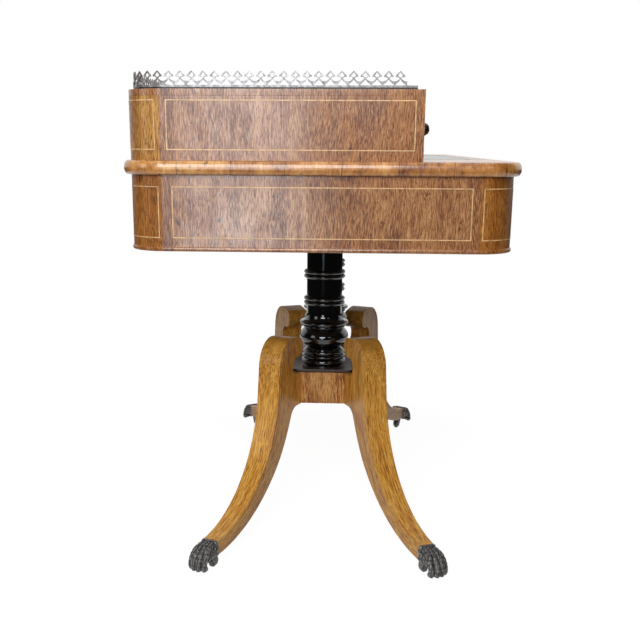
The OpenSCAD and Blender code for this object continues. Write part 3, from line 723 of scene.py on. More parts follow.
@dataclass(frozen=True)
class BandedEdge(Finish):
    """Cross-banded veneer: short grain square to the edge, in lengths with dark joints between them."""

    deep: Colour
    mid: Colour
    light: Colour
    half_length: float
    half_depth: float
    length: float = 84 * MM

    def paint(self, shader: Shader) -> None:
        """Lays the short grain, the tones of the lengths and the joints between them.

        Args:
            shader: The material under construction.
        """
        place = shader.coordinates()
        parts = shader.parts(place)
        end, side = (shader.math("GREATER_THAN", shader.math("ABSOLUTE", parts[axis]), limit)
                     for axis, limit in ((0, self.half_length), (1, self.half_depth)))
        border = shader.most(end, side)
        across_end, across_side, centre = (shader.vector("MULTIPLY", place, squeeze)
                                           for squeeze in ((0.09, 1.0, 0.3), (1.0, 0.09, 0.3), (0.06, 1.0, 1.0)))
        edge = shader.add("Mix", {0: end, 4: across_side, 5: across_end}, data_type="VECTOR").outputs[1]
        grain = shader.add("Mix", {0: border, 4: centre, 5: edge}, data_type="VECTOR").outputs[1]
        streaks = shader.noise(grain, 300, 4, 0.65)
        clouds = shader.noise(place, 34, 4, 0.62)
        spots = shader.span(shader.noise(shader.coordinates(scale=(1, 1, 0.8)), 120, 3, 0.5), 0.60, 0.70)
        tone = shader.plus(shader.times(shader.span(streaks, 0.32, 0.68), 0.34),
                           shader.times(shader.span(clouds, 0.32, 0.68), 0.5),
                           shader.times(self.lengths(shader, place, end), 0.22))
        colour = shader.ramp(tone, [(0.14, self.deep), (0.5, self.mid), (0.88, self.light)])
        dark = shaded(self.deep, 0.4)
        colour = shader.blend(shader.times(spots, 0.7), colour, dark)
        colour = shader.blend(shader.times(self.joint(shader, place, end), border), colour, dark)
        shader.set(Base_Color=colour, Roughness=shader.span(streaks, 0.3, 0.7, 0.5, 0.38), Coat_Weight=0.75,
                   Coat_Roughness=0.15, Coat_IOR=1.6)
        shader.bump(shader.plus(clouds, streaks), 0.08, 0.0003)

    def along(self, shader: Shader, place: Socket, end: Socket) -> Socket:
        """The way along the edge, with joints at slightly uneven distances."""
        parts = shader.parts(place)
        return shader.plus(shader.choose(end, parts[0], parts[1]), shader.times(shader.noise(place, 3.0, 1), 0.06))

    def joint(self, shader: Shader, place: Socket, end: Socket) -> Socket:
        """Thin dark lines where two lengths of banding meet."""
        step = shader.math("PINGPONG", self.along(shader, place, end), self.length / 2)
        return shader.span(step, 0.0011, 0.0002, 0.0, 0.9)

    def lengths(self, shader: Shader, place: Socket, end: Socket) -> Socket:
        """A tone of its own for each length of banding."""
        run = shader.math("DIVIDE", self.along(shader, place, end), self.length)
        return shader.own_value(shader.math("FLOOR", run))


@dataclass(frozen=True)
class Boxwood(Finish):
    """Thin pale inlay, slightly uneven in tone."""

    name: str = "boxwood_line"
    slot: str = "rosewood"
    colour: Colour = (0.80, 0.50, 0.22)

    def paint(self, shader: Shader) -> None:
        """Sets up the surface.

        Args:
            shader: The material under construction.
        """
        uneven = shader.noise(shader.coordinates(), 120, 4)
        stops = [(0.36, shaded(self.colour, 0.6)), (0.56, self.colour)]
        shader.set(Base_Color=shader.ramp(uneven, stops), Roughness=0.45,
                   Coat_Weight=0.4, Coat_Roughness=0.25)


@dataclass(frozen=True)
class Ebonised(Finish):
    """Deep black polish over turned wood, with a trace of brown where it has thinned."""

    name: str = "ebonised_polish"
    slot: str = "ebonised"

    def paint(self, shader: Shader) -> None:
        """Sets up the surface.

        Args:
            shader: The material under construction.
        """
        place = shader.coordinates(scale=(1, 1, 3))
        worn = shader.span(shader.noise(place, 30, 5, 0.65), 0.60, 0.78)
        colour = shader.blend(shader.times(worn, 0.5), (0.0035, 0.003, 0.003), (0.012, 0.006, 0.005))
        shader.set(Base_Color=colour, Roughness=shader.span(shader.noise(place, 60, 3), 0.3, 0.7, 0.26, 0.36),
                   Specular_IOR_Level=0.0, Coat_Weight=1.0, Coat_Roughness=0.08, Coat_IOR=1.7)
        shader.bump(shader.noise(place, 24, 2), 0.05, 0.0006)


@dataclass(frozen=True)
class Silvered(Finish):
    """Worn silvered metal of the gallery, with a painted shade line in near black along the foot of its strip, where it
    meets the wood.
    """

    name: str = "silvered_gallery"
    slot: str = "silvered_metal"
    painted_shade_below: float = 0.8606

    def paint(self, shader: Shader) -> None:
        """Sets up the surface.

        Args:
            shader: The material under construction.
        """
        place = shader.coordinates()
        tarnish = shader.noise(place, 150, 5, 0.65)
        stops = [(0.3, (0.12, 0.113, 0.113)), (0.52, (0.25, 0.24, 0.24)), (0.78, (0.38, 0.37, 0.37))]
        # Painted shade: below this height the strip turns near black and stops being metallic, a shadow line where it
        # meets the wood
        low = shader.span(shader.parts(place)[2], self.painted_shade_below + 0.0004, self.painted_shade_below - 0.0002)
        colour = shader.blend(low, shader.ramp(tarnish, stops), (0.008, 0.005, 0.004))
        shader.set(Base_Color=colour, Metallic=shader.span(low, 0.0, 1.0, 0.7, 0.0),
                   Roughness=shader.span(tarnish, 0.3, 0.7, 0.46, 0.3))
        shader.bump(shader.noise(place, 700, 3), 0.12, 0.0002)


@dataclass(frozen=True)
class OldBronze(Finish):
    """Dark worn cast metal: grey on the ridges, near black in the hollows."""

    name: str = "patinated_metal"
    slot: str = "patinated_metal"
    hair: float = 0.85
    tone: float = 1.0

    def paint(self, shader: Shader) -> None:
        """Sets up the surface.

        Args:
            shader: The material under construction.
        """
        place = shader.coordinates()
        ridges = shader.add("NewGeometry").outputs["Pointiness"]
        worn = shader.span(ridges, 0.47, 0.545)
        spots = shader.noise(place, 300, 5, 0.7)
        locks = shader.noise(shader.coordinates(scale=(1, 1, 0.22)), 330, 3, 0.6)
        mixed = shader.plus(shader.times(worn, 0.5), shader.times(spots, 0.3),
                            shader.times(shader.span(locks, 0.34, 0.66), 0.3))
        stops = ((0.26, (0.010, 0.009, 0.009)), (0.52, (0.075, 0.069, 0.066)), (0.84, (0.42, 0.40, 0.39)))
        colour = shader.ramp(mixed, [(at, shaded(shade, self.tone)) for at, shade in stops])
        shader.set(Base_Color=colour, Metallic=0.4, Roughness=shader.span(spots, 0.3, 0.7, 0.58, 0.4))
        shader.bump(shader.plus(locks, spots), self.hair, 0.0008)


@dataclass(frozen=True)
class Hide(Finish):
    """Dark green writing leather, waxed, with a fine pebble and darker, worn patches."""

    name: str = "writing_hide"
    slot: str = "leather"

    def paint(self, shader: Shader) -> None:
        """Sets up the surface.

        Args:
            shader: The material under construction.
        """
        place = shader.coordinates()
        pebble = shader.add("TexVoronoi", {"Vector": place, "Scale": 620.0}).outputs["Distance"]
        patches = shader.noise(place, 7, 5, 0.6)
        stops = [(0.3, (0.018, 0.04, 0.02)), (0.55, (0.035, 0.075, 0.04)), (0.75, (0.06, 0.10, 0.05))]
        shader.set(Base_Color=shader.ramp(patches, stops), Roughness=shader.span(patches, 0.3, 0.7, 0.5, 0.36),
                   Coat_Weight=0.7, Coat_Roughness=0.14)
        shader.bump(shader.plus(pebble, shader.noise(place, 90, 4)), 0.12, 0.0002)


@dataclass(frozen=True)
class Gilt(Finish):
    """Gold-tooled line in the leather."""

    name: str = "tooled_line"
    slot: str = "leather"

    def paint(self, shader: Shader) -> None:
        """Sets up the surface.

        Args:
            shader: The material under construction.
        """
        rubbed = shader.noise(shader.coordinates(), 300, 4)
        colour = shader.ramp(rubbed, [(0.35, (0.16, 0.11, 0.04)), (0.6, (0.55, 0.38, 0.14))])
        shader.set(Base_Color=colour, Metallic=0.8, Roughness=0.45)


# Tones of the woods, from the darkest to the lightest
FADED = dict(deep=(0.13, 0.036, 0.009), mid=(0.35, 0.138, 0.043), light=(0.56, 0.28, 0.105))
OCHRE = dict(deep=(0.17, 0.052, 0.007), mid=(0.45, 0.198, 0.036), light=(0.66, 0.37, 0.10))
DARKER = dict(deep=(0.06, 0.02, 0.009), mid=(0.17, 0.066, 0.026), light=(0.32, 0.15, 0.065))
HONEY = dict(deep=(0.28, 0.080, 0.008), mid=(0.70, 0.295, 0.036), light=(0.92, 0.54, 0.12))
AMBER = dict(deep=(0.17, 0.045, 0.008), mid=(0.52, 0.205, 0.042), light=(0.78, 0.42, 0.14))
TAWNY = dict(deep=(0.09, 0.021, 0.003), mid=(0.31, 0.100, 0.013), light=(0.50, 0.21, 0.040))
STRAW = dict(deep=(0.22, 0.13, 0.06), mid=(0.36, 0.24, 0.13), light=(0.48, 0.35, 0.21))

# Strong figure under an old polish that is rubbed through in places
SATIN = dict(polish=1.0, polish_roughness=0.17, lustre=1.7, streak=0.95, band=0.8, cloud=0.34, fleck=0.95, worn=0.5)

# The panels inside the inlay lines: their extent in depth on the ends, and in height
LOWER_PANEL_Y = (-0.2392, 0.2357)
UPPER_PANEL_Y = (-0.1462, 0.2420)
LOWER_PANEL_Z = (0.6290, 0.7104)
UPPER_PANEL_Z = (0.7660, 0.8420)


# Sub-assemblies


@dataclass
class SubAssembly:
    """What every sub-assembly shares: the body that carries it, and the pieces it has made."""

    body: str = "desk"
    pieces: list[Piece] = field(default_factory=list)

    def keep(self, piece: Piece, finish: Finish, material: Material,
             body: str | None = None, replaces: Sequence[str] = ()) -> Piece:
        """Dresses a piece, hangs it on its body and reports it.

        Args:
            piece: The finished mesh object.
            finish: The finish of the piece; not used.
            material: The material built from that finish.
            body: The body that carries the piece, or None for the sub-assembly's own.
            replaces: The nodes of the frame that the piece stands for.

        Returns:
            The same piece.
        """
        piece.data.materials.clear()
        piece.data.materials.append(material)
        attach(piece, body or self.body)
        if replaces:
            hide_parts(*replaces)
        self.pieces.append(piece)
        log.info("%s rides on %s", piece.name, body or self.body)
        return piece

    def veneer(self, piece: Piece, material: Material, test: Callable[[Face], bool]) -> None:
        """Lays a second veneer on the faces of a piece that pass a test.

        Args:
            piece: The dressed piece.
            material: The second veneer.
            test: Called with each face.
        """
        piece.data.materials.append(material)
        with editing(piece) as mesh:
            select_faces(piece, mesh, test)
            piece.active_material_index = len(piece.data.materials) - 1
            bpy.ops.object.material_slot_assign()

    def dress_copy(self, node: str, finish: Finish, material: Material, ease: float = 0.6 * MM,
                   body: str | None = None) -> Piece:
        """Replaces a node of the frame with an eased copy in its finish."""
        return self.keep(eased(node, ease), finish, material, body, (node,))


def line_frame(name: str, width: float, height: float, line: float, centre: Point, turn: Point) -> Piece:
    """A flat rectangular inlay line.

    Args:
        name: The name of the piece.
        width: Its outer width in metres, along X before the turn.
        height: Its outer height, along Y before the turn.
        line: The width of the line.
        centre: Where its middle lies, on the surface.
        turn: The turn that faces it outwards from +Z, in radians.

    Returns:
        The frame, set into the surface and a little proud of it.
    """
    piece = added(name, bpy.ops.mesh.primitive_plane_add, size=1)
    piece.scale = (width, height, 1)
    settle(piece)
    with editing(piece, everything=True):
        bpy.ops.mesh.inset(thickness=line, depth=0)
        bpy.ops.mesh.delete(type="FACE")
        bpy.ops.mesh.select_all(action="SELECT")
        bpy.ops.transform.translate(value=(0, 0, -SET_IN))
        bpy.ops.mesh.extrude_region_move(TRANSFORM_OT_translate={"value": (0, 0, SET_IN + PROUD)})
    piece.location = centre
    piece.rotation_euler = turn
    return tidy_mesh(settle(piece))


def curved_frame(name: str, radius: float, low: float, high: float, start: float, end: float, line: float,
                 centre: tuple[float, float]) -> Piece:
    """A rectangular inlay line bent round an upright corner.

    Args:
        name: The name of the piece.
        radius: The radius of the corner.
        low: The height of its lower side.
        high: The height of its upper side.
        start: The angle of its first upright in degrees.
        end: The angle of its second upright.
        line: The width of the line.
        centre: The axis of the corner in plan.

    Returns:
        The frame, with half its thickness in the surface.
    """
    piece = settle(added(name, bpy.ops.mesh.primitive_plane_add, size=1, rotation=(math.pi / 2, 0, 0)))
    with editing(piece) as mesh:
        bpy.ops.mesh.select_mode(type="VERT")
        for vertex in mesh.verts:
            vertex.select_set(vertex.co.x < 0)
        bpy.ops.mesh.delete(type="VERT")
        bpy.ops.mesh.select_all(action="SELECT")
        bpy.ops.transform.resize(value=(1, 1, high - low), center_override=(0, 0, 0))
        bpy.ops.transform.translate(value=(radius - 0.5, 0, (low + high) / 2))
        bpy.ops.mesh.spin(steps=24, angle=math.radians(end - start), center=(0, 0, 0), axis=(0, 0, 1))
        bpy.ops.mesh.select_mode(type="FACE")
        bpy.ops.mesh.select_all(action="SELECT")
        bpy.ops.mesh.normals_make_consistent(inside=False)
        bpy.ops.mesh.inset(thickness=line, depth=0)
        bpy.ops.mesh.delete(type="FACE")
    outward_turn = max(math.atan2(v.co.y, v.co.x) for v in piece.data.vertices)
    first = start if outward_turn > 1e-3 else end
    piece.rotation_euler = (0, 0, math.radians(first))
    piece.location = (*centre, 0)
    settle(piece)
    modify(piece, "SOLIDIFY", thickness=BENT_LINE, offset=0.0)
    return tidy_mesh(piece)


@dataclass
class Inlay(SubAssembly):
    """The boxwood lines on the ends, the backs and the corners of the cases.

    Attributes:
        line: The width of a line.
        finish: Its wood.
        lower_z, upper_z: The heights of the panels on each case.
        back_margin: How far the panels of the back stay from its ends.
        corner_margins: The angle between a corner's panel and the flat faces, in degrees, lower and upper.
    """

    line: float = 1.6 * MM
    finish: Boxwood = Boxwood()
    lower_z: tuple[float, float] = LOWER_PANEL_Z
    upper_z: tuple[float, float] = UPPER_PANEL_Z
    back_margin: float = 8 * MM
    corner_margins: tuple[float, float] = (4.7, 8.0)

    def build(self) -> None:
        """Lays every line in place."""
        self.material = self.finish.material()
        self.ends()
        self.backs()
        self.corners()

    def lay(self, piece: Piece, body: str | None = None) -> None:
        """Dresses one line and hangs it on its body."""
        self.keep(piece, self.finish, self.material, body)

    def ends(self) -> None:
        """One panel on each end of each case."""
        face = -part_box("upper_end_left")[0].x
        for side in (-1, 1):
            turn = (math.pi / 2, 0, side * math.pi / 2)
            label = "left" if side < 0 else "right"
            for case, span, heights in (("lower", LOWER_PANEL_Y, self.lower_z), ("upper", UPPER_PANEL_Y, self.upper_z)):
                centre = (side * face, sum(span) / 2, sum(heights) / 2)
                self.lay(line_frame(f"line_{case}_end_{label}", span[1] - span[0], heights[1] - heights[0],
                                    self.line, centre, turn))

    def backs(self) -> None:
        """One long panel on the back of each case."""
        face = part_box("upper_back")[1].y
        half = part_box("upper_back")[1].x - self.back_margin
        for case, heights in (("lower", self.lower_z), ("upper", self.upper_z)):
            centre = (0, face, sum(heights) / 2)
            self.lay(line_frame(f"line_{case}_back", 2 * half, heights[1] - heights[0], self.line, centre,
                                (math.pi / 2, 0, math.pi)))

    def corners(self) -> None:
        """A bent panel on every round corner."""
        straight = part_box("upper_back")[1].x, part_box("upper_end_left")[1].y
        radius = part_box("upper_back")[1].y - straight[1]
        for case, heights, margin in zip(("lower", "upper"), (self.lower_z, self.upper_z), self.corner_margins):
            drawn = curved_frame(f"line_{case}_corner", radius, *heights, margin, 90 - margin, self.line, straight)
            for left in (False, True):
                for front in ((False, True) if case == "lower" else (False,)):
                    name = f"line_{case}_corner_{'front' if front else 'back'}_{'left' if left else 'right'}"
                    self.lay(mirrored_copy(drawn, name, left, front))
            bpy.data.objects.remove(drawn)


@dataclass
class Cases(SubAssembly):
    """The boards of the lower and upper cases."""

    ends: Wood = Wood("rosewood_ends", "rosewood", **FADED, **SATIN, leaf=0.118, shift=(0, 0.096, 0),
                      banded=((Grain.ALONG_Y, *LOWER_PANEL_Y), (Grain.ALONG_Z, *LOWER_PANEL_Z)))
    upper_ends: Wood = Wood("rosewood_upper_ends", "rosewood", **FADED, **SATIN, leaf=0.12, shift=(0, 0.1, 0.3),
                            banded=((Grain.ALONG_Y, *UPPER_PANEL_Y), (Grain.ALONG_Z, *UPPER_PANEL_Z)))
    backs: Wood = Wood("rosewood_backs", "rosewood", **FADED, **SATIN, leaf=0.15, joints=Grain.ALONG_X)
    corners: Wood = Wood("rosewood_corners", "rosewood_dark", **TAWNY, fleck=0.9, streak=0.7)
    upper_corners: Wood = Wood("rosewood_upper_corners", "rosewood_dark", **OCHRE, fleck=0.9, streak=0.7)
    inner: Wood = Wood("rosewood_inner", "rosewood_dark", **DARKER)
    rails: Wood = Wood("rosewood_rails", "rosewood", **DARKER, grain=Grain.ALONG_X)
    lids: Wood = Wood("rosewood_lids", "rosewood", **FADED, grain=Grain.ALONG_Y)
    oak: Wood = Wood("oak_inside", "oak", **STRAW, grain=Grain.ALONG_Y, polish=0.1)

    def build(self) -> None:
        """Dresses every board of the two cases."""
        plan = {
            self.ends: ("frieze_end_left", "frieze_end_right"),
            self.upper_ends: ("upper_end_left", "upper_end_right"),
            self.backs: ("frieze_back", "upper_back"),
            self.corners: ("frieze_corner_posts",),
            self.upper_corners: ("upper_corner_posts",),
            self.inner: ("wing_inner_left", "wing_inner_right", "upper_partitions"),
            self.rails: ("frieze_front_rail", "bearer"),
            self.lids: ("upper_top",),
            self.oak: ("bottom_board", "frieze_dividers", "drawer_guides"),
        }
        for finish, nodes in plan.items():
            material = finish.material()
            for node in nodes:
                piece = self.dress_copy(node, finish, material, 0.35 * MM)
                if node == "upper_top":
                    self.veneer(piece, bpy.data.materials[self.upper_ends.name], lambda face: abs(face.normal.z) < 0.5)


@dataclass
class WritingTop(SubAssembly):
    """The tabletop with its cross-banded edge, and the leather with its tooled lines.

    Attributes:
        border: The width of the banding.
        tooled: The name of each tooled line, its distance from the leather's edge and its width.
        hide, gilt: The finishes of the leather and its lines.
    """

    border: float = 34 * MM
    tooled: tuple[tuple[str, float, float], ...] = (("outer", 14 * MM, 1.6 * MM), ("inner", 20 * MM, 0.8 * MM))
    hide: Hide = Hide()
    gilt: Gilt = Gilt()

    def build(self) -> None:
        """Builds the top, the leather and the tooled lines."""
        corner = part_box("tabletop")[1]
        band = BandedEdge("crossbanded_top", "rosewood", **AMBER, half_length=corner.x - self.border,
                          half_depth=corner.y - self.border)
        self.dress_copy("tabletop", band, band.material(), 0.4 * MM)
        self.dress_copy("writing_leather", self.hide, self.hide.material(), 0.3 * MM)
        low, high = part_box("writing_leather")
        size, middle = high - low, (high + low) / 2
        material = self.gilt.material()
        for name, inset, line in self.tooled:
            piece = line_frame(f"tooled_line_{name}", size.x - 2 * inset, size.y - 2 * inset, line,
                               (middle.x, middle.y, high.z - 0.05 * MM), (0, 0, 0))
            self.keep(piece, self.gilt, material)
        inlay = Boxwood()
        piece = line_frame("line_round_leather", size.x + 16 * MM, size.y + 16 * MM, 1.8 * MM,
                           (middle.x, middle.y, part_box("tabletop")[1].z), (0, 0, 0))
        self.keep(piece, inlay, inlay.material())


@dataclass
class Drawers(SubAssembly):
    """The eight drawers with their inlaid fronts and turned knobs."""

    front_t: float = 16 * MM
    margin: float = 9 * MM
    line: float = 1.6 * MM
    front: Wood = Wood("rosewood_fronts", "rosewood", **FADED, leaf=0.21, joints=Grain.ALONG_X)
    box: Wood = Wood("oak_drawers", "oak", **STRAW, grain=Grain.ALONG_Y, polish=0.1)
    inlay: Boxwood = Boxwood()
    black: Ebonised = Ebonised()

    def build(self) -> None:
        """Builds each drawer and its knobs on its own body."""
        self.front_material = self.front.material()
        self.box_material = self.box.material()
        self.line_material = self.inlay.material()
        self.black_material = self.black.material()
        for row, places in (("frieze", ("left", "centre", "right")), ("wing", ("left", "right")),
                            ("back", ("left", "centre", "right"))):
            for place in places:
                self.drawer(f"{row}_drawer_{place}")
                plural = "s" if (row, place) == ("frieze", "centre") else ""
                self.knobs(f"{row}_knob{plural}_{place}", f"{row}_drawer_{place}")

    def drawer(self, node: str) -> None:
        """Dresses one drawer: veneer on its front board, oak on its box, a line on its face.

        Args:
            node: The drawer's node, which is also the name of its body.
        """
        piece = self.keep(eased(node, 0.4 * MM), self.front, self.box_material, node, (node,))
        low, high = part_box(node)
        inside = low.y + self.front_t - 0.05 * MM
        self.veneer(piece, self.front_material, lambda face: face.calc_center_median().y < inside)
        front_top = self.front_height(piece)
        centre = ((low.x + high.x) / 2, low.y, (low.z + front_top) / 2)
        line = line_frame(f"line_{node}", high.x - low.x - 2 * self.margin, front_top - low.z - 2 * self.margin,
                          self.line, centre, (math.pi / 2, 0, 0))
        self.keep(line, self.inlay, self.line_material, node)

    def front_height(self, piece: Piece) -> float:
        """The top of a drawer's front board, its highest point."""
        return max(vertex.co.z for vertex in piece.data.vertices)

    def knobs(self, node: str, body: str) -> None:
        """Turns the knob or knobs that a node holds.

        Args:
            node: The node of the knobs.
            body: The drawer that carries them.
        """
        low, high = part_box(node)
        diameter = high.z - low.z
        reach = high.y - low.y
        pair = high.x - low.x > 2 * diameter
        axes = [low.x + diameter / 2, high.x - diameter / 2] if pair else [(low.x + high.x) / 2]
        for index, x in enumerate(axes):
            knob = turned(f"{node}_{index + 1}_turned", self.knob_profile(diameter, reach), 48)
            knob.rotation_euler = (math.pi / 2, 0, 0)
            knob.location = (x, high.y, (low.z + high.z) / 2)
            self.keep(tidy_mesh(settle(knob), 40), self.black, self.black_material, body, (node,))

    def knob_profile(self, diameter: float, reach: float) -> Profile:
        """A knob's foot, the cove over it, a bead and the domed head, from the drawer outwards.

        Args:
            diameter: The knob's diameter.
            reach: How far it stands out.

        Returns:
            (radius, distance) pairs.
        """
        foot = [(0.30 * diameter, 0.0), (0.30 * diameter, 0.08 * reach)]
        cove = arc((0.46 * diameter, 0.25 * reach), 0.20 * diameter, 220, 140, 10)
        bead = arc((0.36 * diameter, 0.56 * reach), 0.14 * diameter, -60, 60, 10)
        turns = (math.radians(8 * step) for step in range(1, 12))
        head = [(0.43 * diameter * math.cos(turn), reach * (0.68 + 0.32 * math.sin(turn))) for turn in turns]
        return foot + cove + bead + head


@dataclass
class Gallery(SubAssembly):
    """The pierced metal gallery round the back and the ends."""

    finish: Silvered = Silvered()

    def build(self) -> None:
        """Eases the edges of the three runs."""
        material = self.finish.material()
        for node in ("gallery_left", "gallery_back", "gallery_right"):
            self.dress_copy(node, self.finish, material, 0.22 * MM)


@dataclass
class Columns(SubAssembly):
    """The two turned columns, with their rings, vases and foot mouldings."""

    finish: Ebonised = Ebonised()

    def build(self) -> None:
        """Copies both columns from the frame, clears their custom normals and shades them smooth."""
        material = self.finish.material()
        for node in ("column_left", "column_right"):
            piece = own_copy(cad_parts[node], f"{node}_turned")
            with editing(piece, everything=True):
                bpy.ops.mesh.customdata_custom_splitnormals_clear()
            self.keep(tidy_mesh(piece, 30), self.finish, material, None, (node,))


def leg_places() -> list[tuple[str, bool, bool]]:
    """The four legs: the name of the place, whether it is at the left, and whether at the sitter's side."""
    return [(f"{'front' if front else 'back'}_{'left' if left else 'right'}", left, front)
            for front in (False, True) for left in (False, True)]


@dataclass(frozen=True)
class LegPlan:
    """Where the legs stand, as in the frame; a foot is drawn along +X from the cant of the platform."""

    cant: tuple[float, float] = (160 * MM, 45.5 * MM)
    angle: float = math.radians(22.65)
    half_width: float = 24 * MM
    ankle: float = 346 * MM
    caster: float = 351 * MM
    outward: float = math.radians(8)

    def turn_out(self, piece: Piece) -> Piece:
        """Turns a paw outwards from the line of its leg, about the axis of its caster.

        Args:
            piece: The paw, drawn along +X.

        Returns:
            The turned paw.
        """
        turn = Matrix.Rotation(self.outward, 3, "Z")
        centre = Vector((self.caster, 0, 0))
        piece.rotation_euler = (0, 0, self.outward)
        piece.location = centre - turn @ centre
        return settle(piece)

    def plant(self, piece: Piece) -> Piece:
        """Carries a piece drawn along +X, on its own middle line, to the right back leg.

        Args:
            piece: The piece, drawn along +X.

        Returns:
            The piece in its place.
        """
        sideways = Vector((-math.sin(self.angle), math.cos(self.angle))) * self.half_width
        piece.rotation_euler = (0, 0, self.angle)
        piece.location = (self.cant[0] + sideways.x, self.cant[1] + sideways.y, 0)
        return settle(piece)


@dataclass
class Base(SubAssembly):
    """The plinth board, the platform block and the four legs."""

    plan: LegPlan = LegPlan()
    sweep_centre: tuple[float, float] = (524.2 * MM, 308 * MM)
    sweep: float = 270 * MM
    block: Wood = Wood("golden_block", "golden_wood", **AMBER, fleck=0.8, band=2.4, streak=1.0, cloud=0.5, polish=0.2)
    board: Wood = Wood("dark_plinth", "rosewood_dark", deep=(0.02, 0.01, 0.008), mid=(0.05, 0.024, 0.018),
                       light=(0.10, 0.05, 0.035), grain=Grain.ALONG_X)

    def build(self) -> None:
        """Dresses the block and the board, and each leg with grain along its sweep."""
        self.dress_copy("plinth_board", self.board, self.board.material(), 1.2 * MM)
        self.dress_copy("platform_block", self.block, self.block.material(), 0.6 * MM)
        for place, left, front in leg_places():
            finish = self.leg_wood(place, left, front)
            self.dress_copy(f"leg_{place}", finish, finish.material(), 0.8 * MM)
        steel = OldBronze("screw_steel", hair=0.1)
        self.dress_copy("bearer_screws", steel, steel.material(), 0.15 * MM)

    def leg_wood(self, place: str, left: bool, front: bool) -> Wood:
        """The wood of one leg, with grain along its sweep and a figure of its own.

        Args:
            place: The name of the leg's place.
            left: Whether it is at the left.
            front: Whether it is at the sitter's side.

        Returns:
            The wood.
        """
        heading = math.atan2((-1 if front else 1) * math.sin(self.plan.angle),
                             (-1 if left else 1) * math.cos(self.plan.angle))
        return Wood(f"golden_leg_{place}", "golden_wood", **HONEY, grain=Grain.ALONG_X, fleck=0.6, fine=0.8,
                    band=0.9, streak=0.8, cloud=0.2, polish=0.25, draw=1.6, sweep=self.sweep, turn=(0, 0, -heading),
                    shift=(-self.sweep_centre[0], 0.3 * left + 0.7 * front, -self.sweep_centre[1]))


